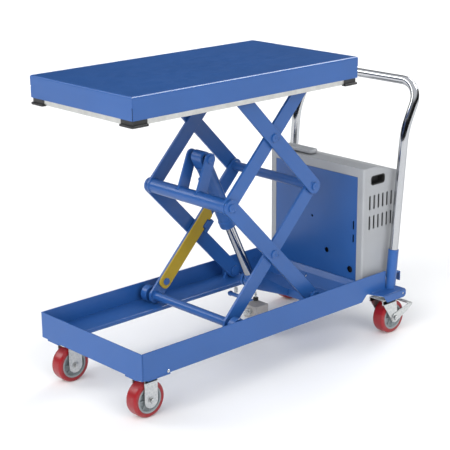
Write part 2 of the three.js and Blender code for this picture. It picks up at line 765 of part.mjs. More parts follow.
function houseSolid(grow, z0) {
  return common(
    slabZ(housePlan(grow), z0, HOUSE_TOP + 20, 4),
    slabY(houseSide(grow), -HOUSE_HALF - 20, HOUSE_HALF + 20),
  );
}

const FRONT_HALF = 208;
const FRONT_TOP = 616.4;
const VENT_PITCH = 25.4;

function cover() {
  const z0 = DECK_TOP + GAP;
  const shell = cut(houseSolid(0, z0), houseSolid(-HOUSE_SHEET, z0 - 5));
  const tools = [box(HOUSE_FRONT - 10, HOUSE_FRONT + 10, -FRONT_HALF - GAP, FRONT_HALF + GAP, z0 - 5, FRONT_TOP + GAP)];
  for (const side of [LEFT, RIGHT]) {
    const [y0, y1] = [side * (HOUSE_HALF - 8), side * (HOUSE_HALF + 8)];
    for (const [low, high] of [
      [491, 545],
      [415, 468],
    ])
      for (let k = 0; k < 6; k++) {
        const x = 1113 + k * VENT_PITCH * 0.94;
        tools.push(slabY(roundedRect(x, x + 8, low, high, 3.5), y0, y1, 1));
      }
    tools.push(slabY(roundedRect(1121, 1194, 585, 617, 15), y0, y1, 4));
  }
  const rear = [HOUSE_REAR - 20, HOUSE_REAR + 10];
  for (const [y, r] of BUTTON_HOLES) tools.push(roundX(y, CONTROL_Z, ...rear, r + GAP));
  tools.push(box(...rear, -INLET_HALF - GAP, INLET_HALF + GAP, INLET_Z - 14 - GAP, INLET_Z + 14 + GAP));
  return cut(shell, ...tools);
}

const CONTROL_Z = 555;
const UP_Y = -70;
const DOWN_Y = -25;
const STOP_Y = 60;
const BUTTON_RADIUS = 11;
const BUTTON_HOLES = [
  [UP_Y, BUTTON_RADIUS],
  [DOWN_Y, BUTTON_RADIUS],
  [STOP_Y, BUTTON_RADIUS],
];
const INLET_HALF = 18;
const INLET_Z = 300;

add("housing_cover", cover(), GREY());

function closingPlate() {
  const x0 = HOUSE_FRONT;
  const x1 = HOUSE_FRONT + 3;
  const plate = box(x0, x1, -FRONT_HALF, FRONT_HALF, DECK_TOP + GAP, FRONT_TOP);
  return cut(
    plate,
    roundX(16.5, 425, x0 - 2, x1 + 2, 5, 16),
    roundX(-61, 307, x0 - 2, x1 + 2, 10),
    roundX(-178, 257, x0 - 2, x1 + 2, 13),
    slabX(roundedRect(-195.5, -188.5, 415, 448, 3.4), x0 - 2, x1 + 2, 2),
    slabX(roundedRect(-195.5, -188.5, 365, 396, 3.4), x0 - 2, x1 + 2, 2),
  );
}

add("closing_plate", closingPlate(), BLUE());

// Rounded boss on the flat part of the top.
function boss() {
  const low = HOUSE_TOP + GAP;
  return new THREE.ExtrudeGeometry(roundedRect(1106, 1140, 51, 194, 12), {
    depth: 6,
    bevelEnabled: true,
    bevelThickness: 6,
    bevelSize: 6,
    bevelOffset: 0,
    bevelSegments: 2,
    curveSegments: 4,
  }).translate(0, 0, low + 6);
}

const bossBody = boss();
add("console_boss", common(bossBody, box(1090, 1160, 40, 205, HOUSE_TOP + GAP + 3, HOUSE_TOP + 30)), GREY());

// ---------------------------------------------------------------- inside the housing
add(
  "battery",
  join(
    box(1096, 1262, -214, -44, DECK_TOP + GAP, 398),
    box(1100, 1258, -210, -48, 397, 408),
    roundZ(1116, -190, 400, 424, 8, 16),
    roundZ(1116, -68, 400, 424, 8, 16),
  ),
  BLACK(),
);

add(
  "power_pack",
  join(
    box(1096, 1250, 30, 200, DECK_TOP + GAP, 372),
    box(1120, 1200, 75, 155, 370, 412),
    roundZ(1160, 115, 410, 548, 52, 24),
    roundZ(1160, 115, 546, 560, 30, 20),
    roundX(115, 391, 1198, 1228, 14, 16),
    roundZ(1232, 170, 370, 390, 15, 16),
  ),
  IRON(),
);

add(
  "charger",
  join(
    box(1236, 1268, -26, 26, DECK_TOP + GAP + 3, 342),
    box(1262, HOUSE_REAR - 2, -INLET_HALF, INLET_HALF, INLET_Z - 14, INLET_Z + 14),
  ),
  BLACK(),
);

// ---------------------------------------------------------------- control buttons
function pushButton(y) {
  return join(
    roundX(y, CONTROL_Z, HOUSE_REAR - 14, HOUSE_REAR + 5, BUTTON_RADIUS),
    roundX(y, CONTROL_Z, HOUSE_REAR - 16, HOUSE_REAR - 8, BUTTON_RADIUS + 3),
  );
}

function stopButton(y) {
  return join(
    roundX(y, CONTROL_Z, HOUSE_REAR - 14, HOUSE_REAR + 12, BUTTON_RADIUS),
    roundX(y, CONTROL_Z, HOUSE_REAR - 16, HOUSE_REAR - 8, BUTTON_RADIUS + 3),
    roundX(y, CONTROL_Z, HOUSE_REAR + 10, HOUSE_REAR + 22, 19, 24),
  );
}

add("up_button", pushButton(UP_Y), plastic(0x2f7d3a));
add("down_button", pushButton(DOWN_Y), plastic(0x1c1c1c));
add("stop_button", stopButton(STOP_Y), RED());

// ---------------------------------------------------------------- casters
// A caster is drawn with its wheel centre over the origin's floor point and its wheel rolling along X.
const HUB_RADIUS = 48;

function tread() {
  const w = WHEEL_WIDTH / 2;
  return turned(
    [
      [HUB_RADIUS + GAP, -w + 1],
      [WHEEL_RADIUS - 9, -w],
      [WHEEL_RADIUS - 3, -w + 4],
      [WHEEL_RADIUS, -w + 11],
      [WHEEL_RADIUS, w - 11],
      [WHEEL_RADIUS - 3, w - 4],
      [WHEEL_RADIUS - 9, w],
      [HUB_RADIUS + GAP, w - 1],
      [HUB_RADIUS + GAP, -w + 1],
    ],
    28,
  );
}

function hub() {
  const w = WHEEL_WIDTH / 2;
  const bore = 6 + GAP;
  return turned(
    [
      [bore, -w - 3],
      [17, -w - 3],
      [17, -w + 9],
      [38, -w + 9],
      [38, -w + 1],
      [HUB_RADIUS, -w + 1],
      [HUB_RADIUS, w - 1],
      [38, w - 1],
      [38, w - 9],
      [17, w - 9],
      [17, w + 3],
      [bore, w + 3],
      [bore, -w - 3],
    ],
    24,
  );
}

const LEG_IN = WHEEL_WIDTH / 2 + 4.5;
const LEG_SHEET = 4;

// Two legs, a crown over the wheel, and the axle bolt through both legs.
function fork(shape, crownZ, crown) {
  const legs = [LEFT, RIGHT].map((side) => slabY(shape, side * LEG_IN, side * (LEG_IN + LEG_SHEET)));
  const out = LEG_IN + LEG_SHEET;
  return join(
    ...legs,
    box(crown[0], crown[1], -out, out, crownZ, crownZ + 5),
    roundY(0, WHEEL_RADIUS, -out - 8, out + 8, 6, 20),
    roundY(0, WHEEL_RADIUS, out - 1, out + 6, 10, 6),
    roundY(0, WHEEL_RADIUS, -out + 1, -out - 6, 10, 6),
  );
}

function fixedFork() {
  const legShape = new THREE.Shape();
  legShape.moveTo(27, 142);
  legShape.lineTo(-27, 142);
  legShape.absarc(0, WHEEL_RADIUS, 27, Math.PI, 2 * Math.PI, false);
  const top = CASTER_MOUNT_BOTTOM - GAP;
  return join(
    fork(legShape, 138, [-34, 34]),
    box(-32, 32, -28, 28, 141, top),
    box(-52, 52, -42, 42, top - 5, top),
  );
}

// The swivel fork is drawn with its wheel centre at the origin and its swivel axis at -TRAIL.
function swivelFork() {
  const legShape = new THREE.Shape();
  legShape.moveTo(4, 150);
  legShape.lineTo(-TRAIL - 34, 150);
  legShape.lineTo(-TRAIL - 30, 136);
  legShape.absarc(0, WHEEL_RADIUS, 17, Math.PI * 0.86, 2 * Math.PI, false);
  return join(
    fork(legShape, 145, [-TRAIL - 34, 4]),
    roundZ(-TRAIL, 0, 148, 156, 34, 20),
    roundZ(-TRAIL, 0, 150, 166, 14, 16),
  );
}

const CASTER_PLATE_TOP = CORNER_TOP - 4 - GAP;

function swivelPlate() {
  return join(
    box(-TRAIL - 52, -TRAIL + 52, -44, 44, CASTER_PLATE_TOP - 5, CASTER_PLATE_TOP),
    cut(
      roundZ(-TRAIL, 0, 156 + GAP, CASTER_PLATE_TOP - 2, 36, 20),
      roundZ(-TRAIL, 0, 150, 166 + GAP, 14 + GAP, 20),
    ),
  );
}

// Foot pedal: two bars that turn about the axle nuts and rise to the tread pad behind the wheel.
function brakePedal() {
  const out = LEG_IN + LEG_SHEET;
  const side = linkShape(0, WHEEL_RADIUS, 88, 101, 18, 7);
  const bore = roundY(0, WHEEL_RADIUS, -out - 5, out + 5, 11.4);
  const cheek = [LEFT, RIGHT].map((s) => cut(slabY(side, s * (out + GAP), s * (out + 3)), bore));
  return join(...cheek, box(70, 101, -out - 3, out + 3, 99, 104));
}

for (const [side, word] of [
  [LEFT, "left"],
  [RIGHT, "right"],
]) {
  const front = new THREE.Group();
  front.position.set(FRONT_CASTER.x, side * FRONT_CASTER.y, 0);
  group.add(front);
  add("front_fork_" + word, fixedFork(), ZINC(), front);
  add("front_hub_" + word, hub(), HUB(), front).position.z = WHEEL_RADIUS;
  add("front_tread_" + word, tread(), RED(), front).position.z = WHEEL_RADIUS;

  const rear = new THREE.Group();
  rear.position.set(SWIVEL.x + TRAIL, side * SWIVEL.y, 0);
  group.add(rear);
  add("rear_fork_" + word, swivelFork(), ZINC(), rear);
  add("rear_hub_" + word, hub(), HUB(), rear).position.z = WHEEL_RADIUS;
  add("rear_tread_" + word, tread(), RED(), rear).position.z = WHEEL_RADIUS;
  add("swivel_plate_" + word, swivelPlate(), ZINC(), rear);
  add("brake_pedal_" + word, brakePedal(), ZINC(), rear);
}

export default group;
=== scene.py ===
import json
import math

import bmesh
import bpy
from mathutils import Matrix, Quaternion, Vector
from mathutils.geometry import tessellate_polygon


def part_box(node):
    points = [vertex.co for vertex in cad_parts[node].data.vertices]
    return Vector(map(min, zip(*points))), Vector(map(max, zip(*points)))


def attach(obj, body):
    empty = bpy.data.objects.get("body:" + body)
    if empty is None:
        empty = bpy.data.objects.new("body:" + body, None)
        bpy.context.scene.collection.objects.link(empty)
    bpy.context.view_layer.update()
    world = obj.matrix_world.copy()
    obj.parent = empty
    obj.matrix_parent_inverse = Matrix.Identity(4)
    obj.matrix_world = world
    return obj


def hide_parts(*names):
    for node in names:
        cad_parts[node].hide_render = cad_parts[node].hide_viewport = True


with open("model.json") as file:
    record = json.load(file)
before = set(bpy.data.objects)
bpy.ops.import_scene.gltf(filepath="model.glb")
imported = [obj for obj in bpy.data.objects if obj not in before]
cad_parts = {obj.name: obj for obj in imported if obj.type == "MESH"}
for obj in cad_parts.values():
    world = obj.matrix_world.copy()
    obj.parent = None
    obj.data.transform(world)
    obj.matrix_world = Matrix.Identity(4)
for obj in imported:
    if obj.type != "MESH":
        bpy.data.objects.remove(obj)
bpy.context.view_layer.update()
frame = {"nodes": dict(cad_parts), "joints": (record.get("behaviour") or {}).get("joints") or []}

# ---------- the table's own frame
# Pieces are drawn in millimetres with X from the base's front face, and scaled to metres once.
BASE_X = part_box("front_plate")[0].x
TABLE = Matrix.Translation((BASE_X, 0, 0)) @ Matrix.Scale(0.001, 4)
LEFT, RIGHT = -1, 1
SIDES = ((LEFT, "left"), (RIGHT, "right"))
JOINTS = {j["name"]: j for j in frame["joints"]}


def pivot(joint):
    x, y, z = JOINTS[joint]["pos_m"]
    return Vector(((x - BASE_X) * 1000, y * 1000, z * 1000))


def hinge(joint):
    """A pivot seen from the side, on the table's middle plane."""
    p = pivot(joint)
    return Vector((p.x, 0, p.z))


def limits(node):
    """The lowest and highest corner of a CAD node's box."""
    inverse = TABLE.inverted()
    return [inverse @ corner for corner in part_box(node)]


# ---------- outlines
def arc(cx, cy, r, a0, a1, n=8):
    angles = [math.radians(a0 + (a1 - a0) * k / n) for k in range(n + 1)]
    return [(cx + r * math.cos(a), cy + r * math.sin(a)) for a in angles]


def circle(cx, cy, r, n=40):
    return arc(cx, cy, r, 0, 360 * (n - 1) / n, n - 1)


def rounded(x0, x1, y0, y1, r, n=6):
    corners = (
        (x1 - r, y0 + r, -90), (x1 - r, y1 - r, 0), (x0 + r, y1 - r, 90), (x0 + r, y0 + r, 180),
    )
    return [p for cx, cy, a in corners for p in arc(cx, cy, r, a, a + 90, n)]


def link(a, b, ra, rb=None, n=18):
    """The outline round two circles and the straight edges between them."""
    rb = ra if rb is None else rb
    along = math.degrees(math.atan2(b[1] - a[1], b[0] - a[0]))
    lean = math.degrees(math.acos((ra - rb) / math.dist(a, b)))
    near_b = arc(*b, rb, along - lean, along + lean, n)
    return near_b + arc(*a, ra, along + lean, along + 360 - lean, n)


def fillet(points, radii, n=5):
    """A polygon with its corners rounded. radii is one number, or one for each corner."""
    if not isinstance(radii, (list, tuple)):
        radii = [radii] * len(points)
    out = []
    for k, p in enumerate(points):
        p = Vector(p)
        back = Vector(points[k - 1]) - p
        on = Vector(points[(k + 1) % len(points)]) - p
        r = radii[k]
        if r <= 0:
            out.append(tuple(p))
            continue
        half = back.angle(on) / 2
        run = min(r / math.tan(half), back.length * 0.49, on.length * 0.49)
        start, end = p + back.normalized() * run, p + on.normalized() * run
        for i in range(n + 1):
            t = i / n
            q = start.lerp(p, t).lerp(p.lerp(end, t), t)
            out.append(tuple(q))
    return out


def area(loop):
    return sum(a[0] * b[1] - b[0] * a[1] for a, b in zip(loop, loop[1:] + loop[:1])) / 2


def cleaned(loop):
    out = []
    for p in loop:
        if not out or math.dist(p, out[-1]) > 1e-3:
            out.append(p)
    while len(out) > 1 and math.dist(out[0], out[-1]) <= 1e-3:
        out.pop()
    return out


def inset(loop, distance):
    """Moves each point of a loop inwards, with the material on the left of the loop."""
    out = []
    n = len(loop)
    for k in range(n):
        p0, p, p1 = Vector(loop[k - 1]), Vector(loop[k]), Vector(loop[(k + 1) % n])
        d0, d1 = (p - p0).normalized(), (p1 - p).normalized()
        n0, n1 = Vector((-d0.y, d0.x)), Vector((-d1.y, d1.x))
        m = n0 + n1
        m = m.normalized() if m.length > 1e-6 else n0
        out.append(tuple(p + m * min(distance / max(m.dot(n0), 0.35), distance * 2.2)))
    return out


# ---------- solids as (points, faces)
PLANES = {
    "xy": Matrix.Identity(4),
    "xz": Matrix(((1, 0, 0, 0), (0, 0, 1, 0), (0, 1, 0, 0), (0, 0, 0, 1))),
    "yz": Matrix(((0, 0, 1, 0), (1, 0, 0, 0), (0, 1, 0, 0), (0, 0, 0, 1))),
}


def turned(degrees, axis):
    return Matrix.Rotation(math.radians(degrees), 4, axis)


def moved(part, matrix):
    return [matrix @ p for p in part[0]], part[1]


def shifted(part, x, y, z):
    return moved(part, Matrix.Translation((x, y, z)))


def mirrored(part, side):
    """The part itself on the right, or its mirror image on the left."""
    if side == RIGHT:
        return part
    return [Vector((p.x, -p.y, p.z)) for p in part[0]], [tuple(reversed(f)) for f in part[1]]


def handed(side, *parts):
    """Parts drawn on the right, put on the side asked for."""
    return [mirrored(part, side) for part in parts]


def both(*parts):
    """Parts drawn on the right, with their mirror images."""
    return [mirrored(part, side) for side, _ in SIDES for part in parts]


def placed(parts, place):
    return [moved(part, place) for part in parts]


def combined(parts):
    points, faces = [], []
    for p, f in parts:
        base = len(points)
        points += p
        faces += [tuple(i + base for i in face) for face in f]
    return points, faces


def slab(outline, lo, hi, holes=(), bevel=0.8, steps=2, plane="xy"):
    """A flat outline with holes, given a thickness and small round edges."""
    lo, hi = min(lo, hi), max(lo, hi)
    loops = [cleaned(outline)] + [cleaned(h) for h in holes]
    loops[0] = loops[0] if area(loops[0]) > 0 else loops[0][::-1]
    loops[1:] = [h if area(h) < 0 else h[::-1] for h in loops[1:]]
    bevel = min(bevel, (hi - lo) * 0.49)
    if bevel > 0:
        turn = [math.pi / 2 * k / steps for k in range(steps + 1)]
        layers = [(bevel * (1 - math.sin(a)), lo + bevel * (1 - math.cos(a))) for a in turn]
        layers += [(bevel * (1 - math.cos(a)), hi - bevel * (1 - math.sin(a))) for a in turn]
    else:
        layers = [(0, lo), (0, hi)]
    faces = []
    count = sum(map(len, loops))
    points = [Vector((*p, z)) for distance, z in layers for loop in loops for p in inset(loop, distance)]
    for layer in range(len(layers) - 1):
        start = layer * count
        for loop in loops:
            n = len(loop)
            for k in range(n):
                a, b = start + k, start + (k + 1) % n
                faces.append((a, b, b + count, a + count))
            start += n
    top = (len(layers) - 1) * count
    polygon = []
    at = top
    for loop in loops:
        polygon.append([points[at + k] for k in range(len(loop))])
        at += len(loop)
    for a, b, c in tessellate_polygon(polygon):
        faces.append((top + a, top + b, top + c))
        faces.append((c, b, a))
    return moved((points, faces), PLANES[plane])


def slab_x(outline, lo, hi, **kw):
    """A slab of (y, z) points, thick along X."""
    return slab(outline, lo, hi, plane="yz", **kw)


def slab_y(outline, lo, hi, **kw):
    """A slab of (x, z) points, thick along Y."""
    return slab(outline, lo, hi, plane="xz", **kw)


def ring_points(r, z, n):
    return [Vector((x, y, z)) for x, y in circle(0, 0, r, n)]


def lathe(profile, n=56):
    """A solid of revolution round Z from (radius, height) pairs, closed on itself or on the axis."""
    closed = profile[0][0] > 1e-6 or profile[-1][0] > 1e-6
    points, faces, rows = [], [], []
    for r, h in profile:
        if r < 1e-6:
            rows.append([len(points)] * n)
            points.append(Vector((0, 0, h)))
        else:
            rows.append(list(range(len(points), len(points) + n)))
            points += ring_points(r, h, n)
    for a, b in zip(rows, rows[1:] + rows[:1] if closed else rows[1:]):
        for k in range(n):
            ring = [a[k], a[(k + 1) % n], b[(k + 1) % n], b[k]]
            face = tuple(dict.fromkeys(ring))
            if len(face) > 2:
                faces.append(face)
    return points, faces


ALONG = {
    "z": Matrix.Identity(4),
    "y": turned(-90, "X"),
    "x": turned(90, "Y"),
}


def drum(r, lo, hi, bevel=1.0, steps=3, n=48, bore=0):
    """A cylinder along Z with round rims, and a bore if asked for."""
    rim = [math.pi / 2 * k / steps for k in range(steps + 1)]
    low = [(r - bevel + bevel * math.sin(a), lo + bevel - bevel * math.cos(a)) for a in rim]
    high = [(r - bevel + bevel * math.cos(a), hi - bevel + bevel * math.sin(a)) for a in rim]
    return lathe([(bore, lo)] + low + high + [(bore, hi)], n)


def round_at(part, place, along="y"):
    """A part drawn round Z, turned to lie along an axis and put at a place."""
    return moved(part, Matrix.Translation(place) @ ALONG[along])


def between_y(r, p, y0, y1, **kw):
    """A cylinder along Y from y0 to y1, at a hinge."""
    return round_at(drum(r, y0, y1, **kw), p)


def block(x0, x1, y0, y1, z0, z1, r=1.5, bevel=1.0):
    return slab(rounded(x0, x1, min(y0, y1), max(y0, y1), r, 4), z0, z1, bevel=bevel)


def hexagon(across, lo, hi):
    return slab(circle(0, 0, across / math.sqrt(3), 6), lo, hi, bevel=min(0.9, (hi - lo) / 3))


def bolt(across, head, washer=0):
    """A hexagon head on a washer, standing on Z = 0."""
    parts = [hexagon(across, washer, washer + head)]
    if washer:
        parts.append(drum(across * 0.85, 0, washer, bevel=0.5, n=32))
    parts.append(drum(across * 0.2, washer + head - 0.5, washer + head + 1.2, bevel=0.5, n=20))
    return combined(parts)


def path_with_bends(points, radii, step=6):
    """A list of points along straight runs joined by circular bends."""
    out = [Vector(points[0])]
    for k in range(1, len(points) - 1):
        p, back, on = Vector(points[k]), Vector(points[k - 1]), Vector(points[k + 1])
        u, v = (back - p).normalized(), (on - p).normalized()
        r, half = radii[k - 1], u.angle(v) / 2
        run = r / math.tan(half)
        centre = p + (u + v).normalized() * (r / math.sin(half))
        start, end = p + u * run, p + v * run
        n = max(3, int(r * (math.pi - 2 * half) / step))
        a, b = start - centre, end - centre
        turn = a.rotation_difference(b)
        for i in range(n + 1):
            q = Quaternion().slerp(turn, i / n)
            out.append(centre + q @ a)
    out.append(Vector(points[-1]))
    return out


def sweep(points, radius, n=32):
    """A round bar along a list of points. radius is one number, or one for each point."""
    radii = radius if isinstance(radius, list) else [radius] * len(points)
    tangents = []
    for k in range(len(points)):
        a, b = points[max(k - 1, 0)], points[min(k + 1, len(points) - 1)]
        tangents.append((b - a).normalized())
    side = tangents[0].orthogonal().normalized()
    verts, faces = [], []
    for k, (p, t) in enumerate(zip(points, tangents)):
        if k:
            side = tangents[k - 1].rotation_difference(t) @ side
        side = (side - t * side.dot(t)).normalized()
        other = t.cross(side)
        for i in range(n):
            a = 2 * math.pi * i / n
            verts.append(p + (side * math.cos(a) + other * math.sin(a)) * radii[k])
    for k in range(len(points) - 1):
        for i in range(n):
            a, b = k * n + i, k * n + (i + 1) % n
            faces.append((a, b, b + n, a + n))
    faces.append(tuple(reversed(range(n))))
    faces.append(tuple(range((len(points) - 1) * n, len(points) * n)))
    return verts, faces


def ring_of(loop, radius, n=10):
    """A closed loop of weld with its ripples, along points that come back to the start."""
    verts, faces = [], []
    m = len(loop)
    for k, p in enumerate(loop):
        t = (loop[(k + 1) % m] - loop[k - 1]).normalized()
        side = t.orthogonal().normalized() if k == 0 else (side - t * side.dot(t)).normalized()
        other = t.cross(side)
        r = radius * (0.86 + 0.28 * abs(math.sin(k * 1.9)))
        for x, y in circle(0, 0, r, n):
            verts.append(p + side * x + other * y)
    last = verts[(m - 1) * n]
    twist = min(range(n), key=lambda i: (verts[i] - last).length)
    for k in range(m):
        nxt = (k + 1) % m
        off = twist if nxt == 0 else 0
        for i in range(n):
            a, b = k * n + i, k * n + (i + 1) % n
            faces.append((a, b, nxt * n + (i + 1 + off) % n, nxt * n + (i + off) % n))
    return verts, faces


def weld_round(p, y, r, bead=2.2):
    """A weld bead round a tube at a hinge, where the tube meets a plate."""
    return round_at(ring_of(ring_points(r, 0, 44), bead), (p.x, y, p.z))


def weld_line(a, b, bead=2.0):
    """A straight weld bead with its ripples."""
    a, b = Vector(a), Vector(b)
    n = max(6, int((b - a).length / 2.2))
    points = [a.lerp(b, k / n) for k in range(n + 1)]
    radii = [bead * (0.82 + 0.3 * abs(math.sin(k * 1.7))) for k in range(n + 1)]
    radii[0] = radii[-1] = bead * 0.45
    return sweep(points, radii, n=9)


def seam(x0, x1, y, z, bead=2.0):
    """A straight weld along X."""
    return weld_line((x0, y, z), (x1, y, z), bead)


# ---------- objects
def mesh_of(part, name):
    mesh = bpy.data.meshes.new(name)
    mesh.from_pydata([tuple(p) for p in part[0]], [], part[1])
    bm = bmesh.new()
    bm.from_mesh(mesh)
    bmesh.ops.remove_doubles(bm, verts=bm.verts, dist=0.002)
    bmesh.ops.recalc_face_normals(bm, faces=bm.faces)
    bm.to_mesh(mesh)
    bm.free()
    return mesh


def added(name, data):
    """A new object in the scene."""
    o = bpy.data.objects.new(name, data)
    bpy.context.scene.collection.objects.link(o)
    return o


def carved(part, *tools, op="DIFFERENCE"):
    """The part with other closed parts cut from it, joined to it, or kept in common with it."""
    body, *helpers = [added("scratch", mesh_of(p, "scratch")) for p in (part, *tools)]
    for h in helpers:
        m = body.modifiers.new("cut", "BOOLEAN")
        m.operation, m.object, m.solver = op, h, "EXACT"
    bpy.context.view_layer.update()
    done = bpy.data.meshes.new_from_object(body.evaluated_get(bpy.context.evaluated_depsgraph_get()))
    result = [v.co.copy() for v in done.vertices], [tuple(p.vertices) for p in done.polygons]
    for o in [body, *helpers]:
        bpy.data.objects.remove(o)
    bpy.data.meshes.remove(done)
    return result


def piece(name, parts, finish, body, replaces=(), sharp=32, weighted=True):
    """One visible object from parts in table millimetres, riding on a CAD body."""
    material, slot = finish
    part = combined(parts) if isinstance(parts, list) else parts
    mesh = mesh_of(part, name)
    mesh.transform(TABLE)
    mesh.polygons.foreach_set("use_smooth", [True] * len(mesh.polygons))
    mesh.set_sharp_from_angle(angle=math.radians(sharp))
    mesh.materials.append(material)
    o = added(name, mesh)
    if weighted:
        m = o.modifiers.new("flat faces stay flat", "WEIGHTED_NORMAL")
        m.keep_sharp, m.weight = True, 60
    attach(o, body)
    if replaces:
        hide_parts(*([replaces] if isinstance(replaces, str) else replaces))
    return o


# ---------- materials
class Shader:
    """A node material with a few short ways to add noise, wear and bump."""

    def __init__(self, name, color, roughness, metallic=0.0):
        self.m = bpy.data.materials.new(name)
        self.m.use_nodes = True
        self.t = self.m.node_tree
        self.b = self.t.nodes["Principled BSDF"]
        self.set("Base Color", (*color, 1))
        self.set("Roughness", roughness)
        self.set("Metallic", metallic)
        self.coord = self.t.nodes.new("ShaderNodeTexCoord")

    def new(self, kind, **values):
        node = self.t.nodes.new(kind)
        for key, value in values.items():
            if key in node.inputs:
                node.inputs[key].default_value = value
            else:
                setattr(node, key, value)
        return node

    def set(self, name, value):
        self.b.inputs[name].default_value = value

    def wire(self, a, b):
        self.t.links.new(a, b)

    def noise(self, scale, detail=3.0, stretch=(1, 1, 1), roughness=0.55):
        mapping = self.new("ShaderNodeMapping", Scale=stretch)
        self.wire(self.coord.outputs["Object"], mapping.inputs["Vector"])
        node = self.new("ShaderNodeTexNoise", Scale=scale, Detail=detail, Roughness=roughness)
        self.wire(mapping.outputs["Vector"], node.inputs["Vector"])
        return node.outputs["Fac"]

    def spread(self, source, lo, hi, to_lo=0.0, to_hi=1.0):
        node = self.new("ShaderNodeMapRange")
        for key, value in zip(("From Min", "From Max", "To Min", "To Max"), (lo, hi, to_lo, to_hi)):
            node.inputs[key].default_value = value
        self.wire(source, node.inputs["Value"])
        return node.outputs["Result"]

    def mix(self, factor, a, b):
        node = self.new("ShaderNodeMix", data_type="RGBA")
        for socket, value in ((node.inputs[0], factor), (node.inputs[6], a), (node.inputs[7], b)):
            if isinstance(value, bpy.types.NodeSocket):
                self.wire(value, socket)
            else:
                socket.default_value = value if socket is node.inputs[0] else (*value, 1)
        return node.outputs[2]

    def edges(self, width):
        """1 along convex and concave edges, 0 on flat faces."""
        bevel = self.new("ShaderNodeBevel", Radius=width, samples=4)
        geometry = self.new("ShaderNodeNewGeometry")
        dot = self.new("ShaderNodeVectorMath", operation="DOT_PRODUCT")
        self.wire(bevel.outputs["Normal"], dot.inputs[0])
        self.wire(geometry.outputs["Normal"], dot.inputs[1])
        return self.spread(dot.outputs["Value"], 0.995, 0.90)

    def bump(self, source, strength, distance):
        node = self.new("ShaderNodeBump", Strength=strength, Distance=distance)
        self.wire(source, node.inputs["Height"])
        old = self.b.inputs["Normal"]
        if old.is_linked:
            self.wire(old.links[0].from_socket, node.inputs["Normal"])
        self.wire(node.outputs["Normal"], old)

    def tone(self, scale, detail, low, high):
        """The base colour, clouded between two shades."""
        cloud = self.spread(self.noise(scale, detail), 0.3, 0.7)
        self.wire(self.mix(cloud, low, high), self.b.inputs["Base Color"])

    def rough(self, noise, low, high, span=(0.3, 0.7)):
        self.wire(self.spread(noise, *span, low, high), self.b.inputs["Roughness"])


def tinted(color, factor):
    return tuple(min(1.0, c * factor) for c in color)


def paint(name, color, roughness, gloss, worn=0.25):
    """Powder coat, scuffed pale along its edges."""
    s = Shader(name, color, roughness)
    s.set("Specular IOR Level", gloss)
    base = s.mix(s.spread(s.noise(3.2, 4), 0.3, 0.7), tinted(color, 0.93), tinted(color, 1.06))
    scuff = s.spread(s.noise(60, 6, roughness=0.7), 0.60, 0.74)
    both_ways = s.new("ShaderNodeMath", operation="MULTIPLY")
    s.wire(s.edges(0.0016), both_ways.inputs[0])
    s.wire(scuff, both_ways.inputs[1])
    wear = s.new("ShaderNodeMath", operation="MULTIPLY", use_clamp=True)
    s.wire(both_ways.outputs[0], wear.inputs[0])
    wear.inputs[1].default_value = worn
    pale = tuple(0.55 * c + 0.22 for c in color)
    s.wire(s.mix(wear.outputs[0], base, pale), s.b.inputs["Base Color"])
    s.rough(s.noise(26, 5), roughness - 0.03, roughness + 0.05)
    s.bump(s.noise(700, 2), 0.06, 0.0002)
    return s.m


def steel(name, color, roughness, brushed=(1, 1, 1), scale=500, metallic=1.0):
    s = Shader(name, color, roughness, metallic)
    s.tone(45, 4, tinted(color, 0.88), tinted(color, 1.06))
    s.rough(s.noise(scale, 4, brushed), roughness - 0.06, roughness + 0.06)
    s.bump(s.noise(scale, 3, brushed), 0.08, 0.0002)
    return s.m


def chrome(name):
    s = Shader(name, (0.52, 0.53, 0.55), 0.10, 1.0)
    s.set("Specular Tint", (0.10, 0.105, 0.12, 1))
    s.rough(s.noise(38, 5), 0.10, 0.17, (0.35, 0.75))
    s.bump(s.noise(40, 2), 0.02, 0.0002)
    return s.m


def zinc(name):
    """Plated steel with a faint crystal grain."""
    s = Shader(name, (0.58, 0.60, 0.60), 0.36, 0.9)
    voronoi = s.new("ShaderNodeTexVoronoi", Scale=120)
    s.wire(s.coord.outputs["Object"], voronoi.inputs["Vector"])
    grain = s.spread(voronoi.outputs["Distance"], 0.0, 0.8)
    s.wire(s.mix(grain, (0.50, 0.52, 0.53), (0.66, 0.67, 0.66)), s.b.inputs["Base Color"])
    s.rough(s.noise(30, 4), 0.30, 0.46)
    s.bump(s.noise(400, 3), 0.06, 0.0003)
    return s.m


def plastic(name, color, roughness, grain=1500, depth=0.12):
    s = Shader(name, color, roughness)
    s.tone(18, 4, tinted(color, 0.88), tinted(color, 1.12))
    s.rough(s.noise(70, 4), roughness - 0.06, roughness + 0.08)
    s.bump(s.noise(grain, 2), depth, 0.0002)
    return s.m


def polyurethane(name, color):
    """A wheel tread: slightly clear, with fine turning marks and dust in patches."""
    s = Shader(name, color, 0.34)
    s.set("Subsurface Weight", 0.08)
    s.set("Subsurface Radius", (0.006, 0.002, 0.001))
    s.set("Coat Weight", 0.1)
    s.set("Coat Roughness", 0.25)
    dust = s.spread(s.noise(34, 6, roughness=0.65), 0.5, 0.78)
    s.wire(s.mix(dust, color, tuple(0.8 * c + 0.035 for c in color)), s.b.inputs["Base Color"])
    s.rough(s.noise(22, 5), 0.28, 0.46)
    s.bump(s.noise(600, 3), 0.08, 0.0003)
    return s.m


